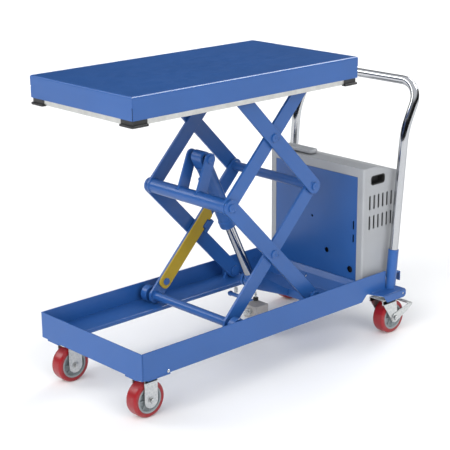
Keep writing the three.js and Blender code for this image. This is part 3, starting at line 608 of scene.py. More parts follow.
# a finish is a material paired with a slot name
BLUE = paint("blue powder coat", (0.018, 0.079, 0.262), 0.33, 0.5), "blue_paint"
GREY = paint("grey powder coat", (0.30, 0.31, 0.325), 0.42, 0.4, 0.15), "grey_paint"
YELLOW = paint("yellow prop paint", (0.36, 0.25, 0.018), 0.40, 0.4, 0.5), "yellow_paint"
CHROME = chrome("handle chrome"), "chrome"
ROD = chrome("rod chrome"), "chrome"
ZINC = zinc("zinc plate"), "zinc"
SILVER = steel("trip rail aluminium", (0.62, 0.62, 0.60), 0.34, (1, 1, 12), 260), "silver_rail"
MACHINED = steel("machined steel", (0.44, 0.43, 0.42), 0.30, (1, 8, 1), 400), "machined_steel"
BLOCK = steel("valve block", (0.36, 0.345, 0.335), 0.50, scale=300, metallic=0.35), "cast_block"
HUB = plastic("hub grey", (0.20, 0.225, 0.235), 0.42, 500, 0.2), "grey_hub"
TREAD = polyurethane("red polyurethane", (0.23, 0.006, 0.010)), "red_tread"
BLACK = plastic("black moulding", (0.018, 0.018, 0.018), 0.46), "black_plastic"
RUBBER = plastic("black rubber", (0.012, 0.012, 0.012), 0.62, 900, 0.2), "black_plastic"
DARK = plastic("motor enamel", (0.025, 0.027, 0.03), 0.30)
GREEN = plastic("green button", (0.03, 0.20, 0.05), 0.28), "green_plastic"
STOP = plastic("red button", (0.52, 0.02, 0.015), 0.26), "red_plastic"
BRASS = steel("brass fitting", (0.62, 0.44, 0.18), 0.30), "machined_steel"

# ---------- pivots and main sizes
REAR_FIXED = hinge("lift")
CENTRE = hinge("lower_centre_pivot")
MID_FRONT = hinge("front_middle_pivot")
MID_REAR = hinge("rear_middle_pivot")
UPPER_REAR = hinge("platform_pivot")
LOWER_FRONT = hinge("lower_roller_spin_left")
UPPER_FRONT = hinge("upper_roller_spin_left")
UPPER_CENTRE = CENTRE + (UPPER_REAR - MID_REAR)
FOOT = hinge("cylinder_foot_pivot")
PROP = hinge("safety_prop_pivot")
ARM_HALF = 27.5
# how far from the middle plane the arms, pin heads and track rollers stand
OUTER = (202, 212)
INNER = (190, 200)
HEAD_OUT = 217
ROLLER_Y = (216, 244)
PIN_R, PIN_HEAD_R, COLLAR_R = 12, 15, 18
PIN_BORE, AXLE_BORE = 12.4, 10.4


def xz(p):
    return p.x, p.z


# ---------- scissor arms
def pin_head(p):
    """A turned pin head with a chamfer, a shallow dish and a grease hole."""
    foot, out, r = OUTER[1] + 0.3, HEAD_OUT, PIN_HEAD_R
    profile = [
        (0, foot), (r, foot), (r, out - 1.6), (r - 0.5, out - 0.5), (r - 1.7, out),
        (9.3, out), (8.4, out - 0.8), (3.2, out - 0.8), (2.6, out - 2.2), (0, out - 2.2),
    ]
    return round_at(lathe(profile, 48), p)


def keeper(p, along):
    """The small lock screw that keeps a pin from turning, beside its head on the outer arm."""
    x, z = arc(*xz(p), 19.5, along, along, 1)[0]
    return round_at(bolt(7.5, 2.6, 0.8), (x, OUTER[1], z))


def arm_part(a, b, faces, bores):
    outline = link(xz(a), xz(b), ARM_HALF, n=22)
    holes = [circle(*xz(p), r, 36) for p, r in bores]
    return slab_y(outline, *faces, holes=holes, bevel=1.1, steps=3)


for side, word in SIDES:
    for name, a, b, bores, screws in (
        ("lower_outer", MID_FRONT, REAR_FIXED,
         ((MID_FRONT, PIN_BORE), (CENTRE, PIN_BORE), (REAR_FIXED, PIN_BORE)),
         ((MID_FRONT, -46), (CENTRE, -20), (REAR_FIXED, 134))),
        ("upper_outer", UPPER_FRONT, MID_REAR,
         ((UPPER_FRONT, AXLE_BORE), (UPPER_CENTRE, PIN_BORE), (MID_REAR, PIN_BORE)),
         ((UPPER_CENTRE, -20), (MID_REAR, 134))),
    ):
        parts = handed(side, arm_part(a, b, OUTER, bores), *[keeper(*screw) for screw in screws])
        piece(f"arm_{name}_{word}", parts, BLUE, name, f"{name}_arm_{word}")
    for name, a, b, centre, front_bore in (
        ("lower_inner", LOWER_FRONT, MID_REAR, CENTRE, AXLE_BORE),
        ("upper_inner", MID_FRONT, UPPER_REAR, UPPER_CENTRE, PIN_BORE),
    ):
        parts = handed(
            side,
            arm_part(a, b, INNER, ((a, front_bore), (b, PIN_BORE))),
            between_y(PIN_R, centre, INNER[1] - 1, OUTER[1] + 2),
            pin_head(centre),
            round_at(drum(22, INNER[1] + 0.2, OUTER[0] - 0.2, 0.5, bore=PIN_BORE), centre),
        )
        piece(f"arm_{name}_{word}", parts, BLUE, name, f"{name}_arm_{word}")


# ---------- cross tubes and bracket
def cross_tube(p, r):
    half, pin = INNER[0] - 0.4, OUTER[1] + 3
    return [
        between_y(r, p, -half, half, bevel=0.8, n=56),
        between_y(PIN_R, p, -pin, pin),
        *both(pin_head(p)),
        *[weld_round(p, y, r + 0.3) for y in (1.8 - INNER[0], INNER[0] - 1.8)],
    ]


PLATE_FOOT, PLATE_HEAD = 24, 22
BRACKET_END = limits("cylinder_bracket")[1]
HEAD = Vector((BRACKET_END.x - PLATE_HEAD, 0, BRACKET_END.z - PLATE_HEAD))


def bracket_plates():
    outline = link((MID_FRONT.x + 6, MID_FRONT.z + 2), xz(HEAD), PLATE_FOOT, PLATE_HEAD, 22)
    cap = lathe([(0, 50.5), (15, 50.5), (15, 56), (14, 57), (6, 57), (5, 56), (0, 56)], 40)
    parts = both(slab_y(outline, 43, 51, bevel=1.0, steps=3), round_at(cap, HEAD))
    points = arc(*xz(MID_FRONT), 25.6, 16, 138.4, 51)
    radii = [1.7 * (0.8 + 0.3 * abs(math.sin(k * 1.3))) for k in range(len(points))]
    for y in (-51.6, -42.4, 42.4, 51.6):
        parts.append(sweep([Vector((x, y, z)) for x, z in points], radii, n=9))
    return parts


piece("front_tube_and_bracket", cross_tube(MID_FRONT, 25) + bracket_plates(), BLUE, "upper_inner",
      "cylinder_bracket")
piece("rear_tube", cross_tube(MID_REAR, 17), BLUE, "lower_inner", "rear_cross_tube")


def roller_bar(p, arm_face):
    half = arm_face - 0.4
    welds = [weld_round(p, y, 16.3, 1.8) for y in (1.6 - arm_face, arm_face - 1.6)]
    return [between_y(16, p, -half, half, bevel=0.8, n=48), *welds]


def roller_axle(p, arm_face):
    end = ROLLER_Y[1] + 3
    collar = between_y(15, p, arm_face + 10.4, ROLLER_Y[0] - 0.4)
    ring = round_at(drum(13.5, ROLLER_Y[1] + 0.6, ROLLER_Y[1] + 2.2, 0.4, bore=9), p)
    return [between_y(10, p, -end, end, bevel=1.2), *both(collar, ring)]


def track_roller(r):
    w = (ROLLER_Y[1] - ROLLER_Y[0]) / 2
    return combined([
        lathe([(r - 6, -w), (r - 1.4, -w), (r, -w + 1.4), (r, w - 1.4), (r - 1.4, w), (r - 6, w),
               (r - 7, w - 1.6), (15.5, w - 1.6), (15.5, -w + 1.6), (r - 7, -w + 1.6)], 64),
        lathe([(10.3, -w + 0.4), (14.8, -w + 0.4), (14.8, w - 0.4), (10.3, w - 0.4)], 48),
    ])


for name, p, face, body in (
    ("lower", LOWER_FRONT, INNER[0], "lower_inner"),
    ("upper", UPPER_FRONT, OUTER[0], "upper_outer"),
):
    piece(name + "_bar", roller_bar(p, face), BLUE, body, name + "_roller_bar")
    piece(name + "_axle", roller_axle(p, face), BLUE, body)

for side, word in SIDES:
    for name, p in (("lower", LOWER_FRONT), ("upper", UPPER_FRONT)):
        node = f"{name}_roller_{word}"
        low, high = limits(node)
        wheel = round_at(track_roller((high.z - low.z) / 2), (p.x, side * sum(ROLLER_Y) / 2, p.z))
        piece(f"{name}_track_wheel_{word}", wheel, BLUE, f"{name}_track_roller_{word}", node)

# ---------- cylinder
LEAN = Matrix.Rotation(math.atan2(HEAD.x - FOOT.x, HEAD.z - FOOT.z), 4, "Y")
FROM_FOOT = Matrix.Translation(FOOT) @ LEAN
FROM_HEAD = Matrix.Translation(HEAD) @ LEAN
BARREL_R, BARREL_END, ROD_R, ROD_TIP = 29, 300, 17, 318


def barrel_parts():
    r, e = BARREL_R, -BARREL_END
    tube = lathe([
        (0, -34), (r - 6, -34), (r - 1.5, -35.5), (r, -38), (r, e + 30), (r + 0.2, e + 29), (r + 2.6, e + 27),
        (r + 2.6, e + 4), (r + 1.4, e + 2), (r + 1.4, e + 1), (r, e), (ROD_R + 5, e), (ROD_R + 4, e + 1.4),
        (ROD_R + 1, e + 2), (ROD_R + 1, e + 9), (24, e + 9), (24, -40), (0, -40),
    ], 72)
    eye = slab_y(arc(0, 0, 23, 0, 180, 24) + [(-22, -37), (22, -37)], -25, 25, holes=[circle(0, 0, 10.5)],
               bevel=1.4, steps=3)
    port = round_at(combined([drum(8, r - 2, r + 10, 0.8), drum(5.5, r + 9, r + 13, 0.8)]), (0, 0, -70), "x")
    port = moved(port, Matrix.Rotation(math.pi, 4, "Z"))
    return [tube, eye, port, ring_of(ring_points(r * 0.97, -36, 50), 1.9)]


piece("lift_barrel", placed(barrel_parts(), FROM_HEAD), BLUE, "barrel", "cylinder_barrel")
wiper_lip = ((0.6, -1.6), (3.4, -1.6), (4.6, 1), (0.9, 1))
wiper = lathe([(ROD_R + r, h - BARREL_END) for r, h in wiper_lip])
piece("rod_wiper", moved(wiper, FROM_HEAD), RUBBER, "barrel")

rod_stem = lathe([(0, 30), (ROD_R - 1, 30), (ROD_R, 31), (ROD_R, ROD_TIP - 9), (22.9, ROD_TIP - 9),
                  (22.9, ROD_TIP), (0, ROD_TIP)], 64)
rod_foot = lathe([(0, 16), (19, 16), (20, 18), (20, 34), (18.5, 37), (ROD_R - 0.5, 38), (0, 38)], 56)
eye_ring = slab_y(circle(0, 0, 24, 56), -21, 21, holes=[circle(0, 0, 10.4)], bevel=1.5, steps=3)
piece("lift_rod", moved(rod_stem, FROM_FOOT), ROD, "rod", "cylinder_rod")
piece("rod_end", placed([rod_foot, eye_ring], FROM_FOOT), BLUE, "rod")


def clevis_parts():
    low, high = limits("cylinder_clevis")
    down = math.degrees(math.atan2(FOOT.z - low.z - 13, high.x - FOOT.x))
    outline = [(high.x, low.z), (high.x, low.z + 27)] + arc(*xz(FOOT), 26, 90 - down, 270 - down, 24)
    parts = both(slab_y(outline, 25, 35, bevel=1.0, steps=3))
    for y in (-24.4, 24.4):
        parts += [weld_line((high.x - 1, y, z - 6), (high.x - 1, y, z + 6), 1.6) for z in (166, 184)]
    return parts + [between_y(10, FOOT, -40.5, 40.5, bevel=1.2)]


piece("foot_clevis", clevis_parts(), BLUE, "base", "cylinder_clevis")
cap = lathe([(0, 35.3), (15, 35.3), (15, 40.5), (13.8, 42), (4, 42), (3.4, 41), (0, 41)], 40)
piece("foot_pin_caps", both(round_at(cap, FOOT)), BLUE, "base")

# The valve block under the cylinder, with its plugs, coil, knob and pipe.
BLOCK_FRONT, BLOCK_BACK, BLOCK_LOW, BLOCK_TOP = 727, 790, 108, 159.6
PORT_Z = BLOCK_LOW + 20
KNOB = (777, 12, 0)
PIPE = Vector((781, 0, 152))
plugs = [
    round_at(combined([drum(9, 0, 9, 0.8), hexagon(14, 9, 14)]), (BLOCK_BACK - 1, -20, PORT_Z), "x"),
    round_at(combined([drum(7, 0, 6, 0.8), hexagon(10, 6, 11)]), (BLOCK_BACK - 1, 6, PORT_Z), "x"),
    moved(combined([drum(12, 0, 14, 0.8), drum(7, 13, 27, 0.8)]),
          Matrix.Translation((BLOCK_FRONT + 1, -10, PORT_Z + 10)) @ turned(-90, "Y")),
    shifted(combined([hexagon(13, 159, 162), drum(3.2, 173, 194, 1), drum(5, 182, 187, 1)]), *KNOB),
    shifted(combined([drum(7.5, 164, 181, 1), drum(5, 180, 185, 1)]), PIPE.x, 122, 0),
]
coil = combined([drum(11, 21, 36, 1.6), drum(5, 35, 40, 1.0)])
pipe = [between_y(r, PIPE, y0, y1) for r, y0, y1 in ((7.5, 20, 160), (10, 148, 156), (10, 24, 31))]
body = block(BLOCK_FRONT, BLOCK_BACK, -42, 22, BLOCK_LOW, BLOCK_TOP, 2, 1.2)
piece("manifold", body, BLOCK, "base", "valve_block")
piece("manifold_plugs", plugs, ZINC, "base")
piece("manifold_coil", [round_at(coil, (748, 0, 134)), shifted(drum(10, 161.5, 174, 2.5), *KNOB)], BLACK,
      "base")
piece("manifold_pipe", pipe, BLUE, "base")

# ---------- safety prop
PROP_Y = (INNER[0] - 10.5, INNER[0] - 4.5)
ALONG_ARM = (Vector(xz(MID_REAR)) - Vector(xz(LOWER_FRONT))).normalized()
ACROSS_ARM = Vector((-ALONG_ARM.y, ALONG_ARM.x))


def on_prop(*points):
    """Points given along and across the arm that the prop lies on, from the prop's pivot."""
    return [tuple(Vector(xz(PROP)) + ALONG_ARM * u + ACROSS_ARM * v) for u, v in points]


bar = fillet(
    on_prop((-26, -26), (246, -26), (246, -13), (283, -13), (283, -26), (304, -26), (315, -8), (315, 14),
            (304, 26), (-26, 26)),
    [25.4, 4, 5, 5, 4, 9, 10, 9, 9, 25.4], 8)
bar = slab_y(bar, *PROP_Y, holes=[circle(*xz(PROP), 8.3)], bevel=0.9, steps=3)
piece("prop_bar", bar, YELLOW, "prop", "safety_prop")
prop_pin = [
    between_y(8, PROP, INNER[0] - 13, INNER[0] + 2),
    between_y(13, PROP, INNER[0] - 16.5, PROP_Y[0] - 0.4, bevel=1.6),
    between_y(14, PROP, PROP_Y[1] + 0.4, INNER[0] + 0.5),
]
piece("prop_pin", prop_pin, BLUE, "lower_inner")
stop = fillet(on_prop((236, -45), (292, -45), (292, -29), (280, -29), (280, -15), (249, -15), (249, -29),
                      (236, -29)), 2.5)
piece("prop_stop", slab_y(stop, INNER[0] - 14, INNER[0] + 1, bevel=0.9), BLUE, "lower_inner")

# ---------- platform
(PX0, _, _), (PX1, PY, PTOP) = limits("platform")
PBOT = PTOP - 74.2
EDGE, SHEET = 7, 4
# each corner's x and y, with the direction from it to the middle
PLATFORM_CORNERS = [(x, dx, y, dy) for x, dx in ((PX0, 1), (PX1, -1)) for y, dy in ((-PY, 1), (PY, -1))]


def arch(u0, u1, z0, z1, r, n):
    return [(u0, z0), (u1, z0)] + arc(u1 - r, z1 - r, r, 0, 90, n) + arc(u0 + r, z1 - r, r, 90, 180, n)


def tub(gap, bottom, edge, n):
    """A box with round top edges, its sides and top a gap inside the platform's own."""
    x0, x1, y, top = PX0 + gap, PX1 - gap, PY - gap, PTOP - gap
    long = slab_y(arch(x0, x1, bottom, top, edge, n), -y - 2, y + 2, bevel=0)
    wide = slab_x(arch(-y, y, bottom, top, edge, n), x0 - 2, x1 + 2, bevel=0)
    return carved(long, wide, op="INTERSECT")


def platform_sheet():
    """Folded sheet, with a slit down each corner that ends in a round relief."""
    tools = [tub(SHEET, PBOT - 5, EDGE - SHEET + 1, 5)]
    for x, dx, y, dy in PLATFORM_CORNERS:
        turn = turned(45 * dx * dy, "Z")
        slit = block(-20, 20, -0.9, 0.9, PBOT - 3, PTOP - 36, 0.2, 0)
        relief = drum(2.6, PTOP - 38.5, PTOP - 34.0, 0.2, n=24)
        tools.append(shifted(moved(slit, turn), x, y, 0))
        tools.append(shifted(relief, x + 1.2 * dx, y + 1.2 * dy, 0))
    return carved(tub(0, PBOT, EDGE, 10), *tools)


piece("platform_sheet", platform_sheet(), BLUE, "table", "platform", sharp=28)
# Black rubber strips stand behind the lower part of each corner slit as painted shade, so that the open slits
# look dark.
slit_shade_backings = []
for x, dx, y, dy in PLATFORM_CORNERS:
    ell = ((3.9, 3.9), (14, 3.9), (14, 4.45), (4.45, 4.45), (4.45, 14), (3.9, 14))
    slit_shade_backings.append(slab([(x + dx * a, y + dy * b) for a, b in ell], PBOT + 1, PTOP - 32, bevel=0))
piece("slit_shade_backing", slit_shade_backings, RUBBER, "table")


def platform_lugs():
    p, under = UPPER_REAR, PTOP - SHEET
    outline = [(p.x + 40, under + 0.5), (p.x - 40, under + 0.5)] + arc(*xz(p), 24, 180, 360, 20)
    parts = both(
        slab_y(outline, INNER[1] + 4, INNER[1] + 13, bevel=0.9),
        between_y(PIN_R, p, INNER[0] - 4, INNER[1] + 12),
        between_y(COLLAR_R, p, INNER[0] - 5, INNER[0] - 0.4),
        between_y(COLLAR_R, p, INNER[1] + 0.4, INNER[1] + 5),
    )
    for side, _ in SIDES:
        parts += [seam(p.x - 38, p.x + 38, side * (INNER[1] + y), under - 0.6, 1.8) for y in (3.6, 13.4)]
    return parts


piece("platform_lugs", platform_lugs(), BLUE, "table")

(RX0, _, RZ0), (RX1, RY, RZ1) = limits("safety_rail")


def rail_outline(gap, r):
    return rounded(RX0 + gap, RX1 - gap, gap - RY, RY - gap, r)


# The trip rail is a thin folded ring: a vertical strip with a small lip turned in at the bottom.
rail = [
    slab(rail_outline(0, 3), RZ0, RZ1, holes=[rail_outline(2, 2)], bevel=0.5),
    slab(rail_outline(1.5, 2), RZ0, RZ0 + 2, holes=[rail_outline(14, 2)], bevel=0.5),
]
piece("trip_rail", rail, SILVER, "trip_frame", "safety_rail")

CAP_LOW, CAP_LEG = 977, 56


def corner_cap(x, dx, side):
    """An L of moulded plastic round the rail's corner, with a lip that stands proud."""

    def ell(out, back):
        leg = CAP_LEG
        points = [(-out, -out), (leg, -out), (leg, -back), (-back, -back), (-back, leg), (-out, leg)]
        return fillet(points, [max(out, 1.5), 1.2, 0.4, 0.6, 0.4, 1.2], 6)

    parts = [
        slab(ell(2.4, 0.3), CAP_LOW + 0.5, CAP_LOW + 26, bevel=0.4),
        slab(ell(8.5, 0.3), CAP_LOW, CAP_LOW + 7.5, bevel=1.6, steps=3),
        slab(ell(2.4, -9), CAP_LOW + 0.2, RZ0 - 0.3, bevel=0.6),
    ]
    points, faces = combined(parts)
    return [Vector((x + dx * p.x, side * (RY - p.y), p.z)) for p in points], faces


for end, x, dx in (("front", RX0, 1), ("rear", RX1, -1)):
    for side, word in SIDES:
        piece(f"rail_cap_{end}_{word}", corner_cap(x, dx, side), BLACK, "trip_frame",
              f"corner_cap_{end}_{word}")

# ---------- base
WEB = limits("front_plate")[1].y
BASE_TOP = limits("front_plate")[1].z
WEB_REAR = limits("base_channel_left")[1].x
TRACK_TOP, TRACK_IN, T = 186, 152, 4
PAN_FRONT, HOUSE_REAR = limits("rear_pan")[0].x, limits("rear_pan")[1].x
DECK_TOP, LOW = 220, 157
RIVET_X, RIVET_Z = 110.7, 163.2


def channel_parts(side):
    web = fillet([(5.2, LOW), (1050, LOW), (1075, 180.4), (WEB_REAR, 180.4), (WEB_REAR, BASE_TOP),
                  (5.2, BASE_TOP)], [1, 6, 6, 1, 3, 1])
    # track: a folded flange with its lip turned down
    fold = fillet([(WEB - 2, TRACK_TOP), (TRACK_IN, TRACK_TOP), (TRACK_IN, TRACK_TOP - 14),
                   (TRACK_IN + T, TRACK_TOP - 14), (TRACK_IN + T, TRACK_TOP - T), (WEB - 2, TRACK_TOP - T)],
                  [0, 5, 0.8, 0.8, 1.5, 0], 6)
    # the lug and the gusset that carry the arms' fixed pivot
    p, lug_in, lug_out = REAR_FIXED, OUTER[1] + 4, OUTER[1] + 14
    lug = [(p.x + 42, TRACK_TOP - 0.5), *arc(*xz(p), 24, 0, 180, 22), (p.x - 42, TRACK_TOP - 0.5)]
    gusset = fillet([(lug_out - 2, TRACK_TOP), (WEB - 3, TRACK_TOP), (WEB - 3, TRACK_TOP + 16),
                     (lug_out - 1, p.z + 12)], [0, 0, 4, 4])
    parts = handed(
        side,
        slab_y(web, WEB - T, WEB, holes=[circle(RIVET_X, RIVET_Z, 3.6, 20)]),
        slab_x(fold, 4.6, PAN_FRONT - 0.9, bevel=0.4),
        slab_y(lug, lug_in, lug_out, bevel=1.0, steps=3),
        slab_x(gusset, p.x - 4, p.x + 4),
        between_y(PIN_R, p, OUTER[0] - 5, OUTER[1] + 8),
        between_y(COLLAR_R, p, OUTER[0] - 6, OUTER[0] - 0.4, bevel=1.4),
        between_y(COLLAR_R, p, OUTER[1] + 0.4, OUTER[1] + 5),
    )
    lug_seams = [seam(p.x - 40, p.x + 40, side * y, TRACK_TOP + 0.5) for y in (lug_in - 0.6, lug_out + 0.6)]
    return [*parts, *lug_seams, seam(30, 110, side * (WEB - T - 0.8), TRACK_TOP + 0.6)]


rivet = lathe([(0, -6), (5, -6), (5, -4.4), (3.2, -4.2), (3.2, 0.2), (5.6, 0.3), (4.6, 1.7), (2.4, 2.4),
               (0, 2.6)], 32)
rivet = round_at(rivet, (RIVET_X, WEB, RIVET_Z))
for side, word in SIDES:
    piece("channel_" + word, channel_parts(side), BLUE, "base", "base_channel_" + word)
    piece("web_rivet_" + word, mirrored(rivet, side), ZINC, "base")


def front_parts():
    mount = fillet([(1, 182), (28, 153), (120, 153), (120, WEB), (28, WEB), (1, 240)], [0, 2, 3, 3, 2, 0])
    rib = fillet([(3.5, 156), (80, 156), (3.5, TRACK_TOP - 6)], [0, 4, 4])
    caster_bolts = [shifted(bolt(10, 5, 1.4), x, y, 156.6) for x in (26, 104) for y in (175, 231)]
    return [
        slab_x(rounded(-WEB, WEB, LOW, BASE_TOP, 1.2), 0, T, steps=3),
        *both(slab(mount, 151, 156.6), slab_y(rib, 196, 200, bevel=0.6), *caster_bolts),
        *[seam(6, 70, y, 157.4, 1.6) for y in (-194.8, 194.8)],
    ]


piece("front_member", front_parts(), BLUE, "base", "front_plate")


def pan_parts():
    """The rear floor: one sheet with a front lip, a slope up to the deck and a rear flange."""
    half = WEB - T - 0.5
    line = [
        (PAN_FRONT, 189), (PAN_FRONT + T, 189), (PAN_FRONT + T, LOW + T), (1046, LOW + T), (1064, 200),
        (1076, DECK_TOP), (HOUSE_REAR, DECK_TOP), (HOUSE_REAR, 182), (HOUSE_REAR - T, 182),
        (HOUSE_REAR - T, DECK_TOP - T), (1079, DECK_TOP - T), (1068, 198), (1050, LOW), (PAN_FRONT, LOW),
    ]
    radii = [1, 1, 2, 2, 3, 3, 6, 1, 1, 2, 5, 3, 6, 5]
    tools = both(block(1172, HOUSE_REAR + 2, 249, 300, 170, 230, 0.5, 0))
    tools.append(slab(rounded(1006, 1034, -59, -53, 2.9, 5), 150, 170, bevel=0))
    tools += [shifted(drum(4, 150, 240, 0.1, n=24), 1060, y, 0) for y in (26, -190)]
    return carved(slab_y(fillet(line[::-1], radii[::-1]), -half, half, bevel=0.5), *tools)


piece("rear_floor", pan_parts(), BLUE, "base", "rear_pan")
web_bolt = shifted(moved(bolt(10, 4.5, 1.6), ALONG["y"].inverted()), 1018, WEB - T, 209)
piece("web_bolts", both(web_bolt), BLUE, "base")

HANDLE_R, HANDLE_Y, SOCKET_R = 16, 273, 19.5
SOCKET_X, SOCKET_Z, SOCKET_LENGTH = 1203, 178, 150
SOCKET_LEAN = math.atan2(14, 150)
HANDLE_SHOULDER, HANDLE_TOP = (1258, 772), (1342, 938)
HANDLE_BENDS = [260, 240, 84]


def socket_place(side):
    return Matrix.Translation((SOCKET_X, side * HANDLE_Y, SOCKET_Z)) @ Matrix.Rotation(SOCKET_LEAN, 4, "Y")


def corner_parts(side):
    top = fillet([(1092, 262), (1112, 320), (1236, 320), (1236, 240), (1228, 216), (1104, 216)],
                 [2, 5, 3, 6, 4, 4])
    flange = fillet([(1112, 179), (1136, 148), (1240, 148), (1240, 179)], [1, 6, 15, 10])
    inside, out, end = HANDLE_R + 0.5, SOCKET_R, SOCKET_LENGTH
    tube = lathe([(inside + 0.1, 2), (out, 2), (out, end - 1.2), (out - 0.6, end - 0.3), (inside + 0.9, end),
                  (inside, end - 0.8)])
    foot_weld = ring_of(ring_points(SOCKET_R, 2.6, 46), 2.2)
    return [
        mirrored(slab(top, 176, 180, bevel=0.7), side),
        mirrored(slab_y(flange, 316, 320, holes=[circle(1226, 163, 4.5, 24)]), side),
        seam(1100, 1180, side * 271, 181, 2.2),
        *placed([tube, foot_weld], socket_place(side)),
    ]


screw = combined([drum(5, SOCKET_R - 2, SOCKET_R + 2, 0.8), hexagon(7, SOCKET_R + 2, SOCKET_R + 5)])
screw = round_at(screw, (0, 0, 26), "x")
for side, word in SIDES:
    piece("corner_plate_and_socket_" + word, corner_parts(side), BLUE, "base",
          "corner_plate_" + word)
    piece("socket_screw_" + word, moved(screw, socket_place(side)), ZINC, "base")


def handle_path():
    """Up one socket, in over the housing, across the top bar and down into the other socket."""
    leg = [(SOCKET_X + (z - SOCKET_Z) * math.tan(SOCKET_LEAN), z) for z in (SOCKET_Z + 12, 330)]
    leg += [HANDLE_SHOULDER, HANDLE_TOP]
    points = [(x, -HANDLE_Y, z) for x, z in leg] + [(x, HANDLE_Y, z) for x, z in leg[::-1]]
    return path_with_bends(points, HANDLE_BENDS + HANDLE_BENDS[::-1], 5)


piece("handle_tube", sweep(handle_path(), HANDLE_R, 40), CHROME, "base", "push_handle", sharp=50,
      weighted=False)

# ---------- housing
HX0 = limits("closing_plate")[0].x
HX1, HALF, HTOP = limits("housing_cover")[1]


def house_solid(grow, z0):
    """The cover's outside: its plan from above kept in common with its outline from the side."""
    h, r, x0, x1, top = HALF + grow, 30 + grow, HX0 - grow, HX1 + grow, HTOP + grow
    plan = (arc(x0 + 8, -h + 8, 8, 180, 270, 6) + arc(x1 - r, -h + r, r, -90, 0, 14)
            + arc(x1 - r, h - r, r, 0, 90, 14) + arc(x0 + 8, h - 8, 8, 90, 180, 6))
    side = fillet([
        (HX0 - 5, 100), (x1 + 8, 100), (x1 + 8, top - 66), (x1 - 2, top - 44), (x1 - 26, top - 31),
        (1144, top), (x0, top), (x0, top - 5), (HX0 - 5, top - 5),
    ], [0, 0, 12, 14, 12, 40, 4.5, 0, 0], 8)
    return carved(slab(plan, z0, HTOP + 30, bevel=0), slab_y(side, -HALF - 30, HALF + 30, bevel=0),
                  op="INTERSECT")


PLATE_HALF, PLATE_TOP = 208, limits("closing_plate")[1].z
VENT_X, VENT_PITCH, VENT_ROWS = 1112, 23.9, ((491, 545), (415, 468))
CONTROL_Z, INLET_Z = 555, 300
KEYS = (("up", -70, GREEN), ("down", -25, BLACK), ("stop", 60, STOP))


def handhold(gap, r, n=12):
    """The outline of the cover's handhold, a gap inside its opening."""
    return rounded(1121 + gap, 1194 - gap, 585 + gap, 617 - gap, r, n)


def cover():
    z0, wall = DECK_TOP + 0.4, (HALF - 9, HALF + 9)
    rear = (HX1 - 20, HX1 + 12)
    front = rounded(-PLATE_HALF - 0.8, PLATE_HALF + 0.8, z0 - 6, PLATE_TOP + 0.8, 2)
    vents = [rounded(VENT_X + k * VENT_PITCH, VENT_X + k * VENT_PITCH + 10, *row, 4.4)
             for row in VENT_ROWS for k in range(6)]
    inlet = rounded(-18.5, 18.5, INLET_Z - 14.5, INLET_Z + 14.5, 3)
    return carved(
        house_solid(0, z0),
        house_solid(-3, z0 - 8),
        slab_x(front, HX0 - 12, HX0 + 12, bevel=0),
        *both(*[slab_y(hole, *wall, bevel=0) for hole in (*vents, handhold(0, 10, 10))]),
        *[round_at(drum(11.5, *rear, 0.1, n=40), (0, y, CONTROL_Z), "x") for _, y, _ in KEYS],
        slab_x(inlet, *rear, bevel=0),
    )


piece("cover_shell", cover(), GREY, "base", "housing_cover", sharp=30)

# A moulded cup behind each handhold, with a rim round the opening, and a screen behind the vents.
cup = [slab_y(outline, HALF + y0, HALF + y1, **kw) for outline, y0, y1, kw in (
    (handhold(-2, 12), -0.2, 0.9, {"holes": [handhold(1, 9)], "bevel": 0.5}),
    (handhold(0.6, 9.4), -26, 0.4, {"holes": [handhold(2.2, 8)], "bevel": 0.3}),
    (handhold(0.6, 9.4), -28, -26.2, {"bevel": 0.3}),
    (rounded(1108, 1246, 408, 552, 4), -8, -6, {"bevel": 0.4}),
)]
for side, word in SIDES:
    piece("handhold_cup_" + word, handed(side, *cup), BLACK, "base")

plate_holes = [
    circle(16.5, 425, 5, 24), circle(-61, 307, 10, 32), circle(-178, 257, 13, 36),
    rounded(-195.5, -188.5, 415, 448, 3.4), rounded(-195.5, -188.5, 365, 396, 3.4),
]
closing = slab_x(rounded(-PLATE_HALF, PLATE_HALF, DECK_TOP + 0.4, PLATE_TOP, 2), HX0, HX0 + 3,
               holes=plate_holes, bevel=0.6)
piece("closing_sheet", closing, BLUE, "base", "closing_plate")

(boss_x0, boss_y0, boss_z0), (boss_x1, boss_y1, boss_z1) = limits("console_boss")
boss = slab(rounded(boss_x0, boss_x1, boss_y0, boss_y1, 18, 12), boss_z0, boss_z1, bevel=6, steps=8)
piece("top_boss", boss, GREY, "base", "console_boss")


def lathe_on_rear(profile, y):
    """A solid of revolution on the housing's rear face, its heights measured out from the face."""
    return round_at(lathe([(r, HX1 + out) for r, out in profile]), (0, y, CONTROL_Z), "x")


for name, y, finish in KEYS:
    reach = 12 if name == "stop" else 7
    spot = (0, y, CONTROL_Z)
    parts = [round_at(drum(11, HX1 - 12, HX1 + reach, 1.4), spot, "x"),
             round_at(drum(14, HX1 - 14, HX1 - 6, 0.6), spot, "x")]
    if name == "stop":
        dome = [(0, 10), (14, 10), (18.4, 12), (19, 15), (18, 19.5), (12, 23), (5, 24), (0, 24)]
        parts.append(lathe_on_rear(dome, y))
    piece(f"{name}_key_cap", parts, finish, name + "_key", name + "_button")
    bezel = [(12.2, -0.4), (18, -0.4), (18, 1.2), (16.4, 2.4), (12.8, 2.4), (12.2, 1.8)]
    piece(f"{name}_bezel", lathe_on_rear(bezel, y), BLACK, "base")

inlet_rim = slab_x(rounded(-24, 24, INLET_Z - 19, INLET_Z + 19, 6, 8), HX1 - 0.3, HX1 + 2.2,
                 holes=[rounded(-15, 15, INLET_Z - 11, INLET_Z + 11, 4, 8)])
piece("inlet_rim", inlet_rim, BLACK, "base")
blades = [block(HX1 - 6, HX1 + 0.6, y - 1, y + 1, INLET_Z + z - 3, INLET_Z + z + 3, 0.4, 0.3)
          for y, z in ((-7, 2), (7, 2), (0, -4))]
piece("inlet_blades", blades, BRASS, "base")

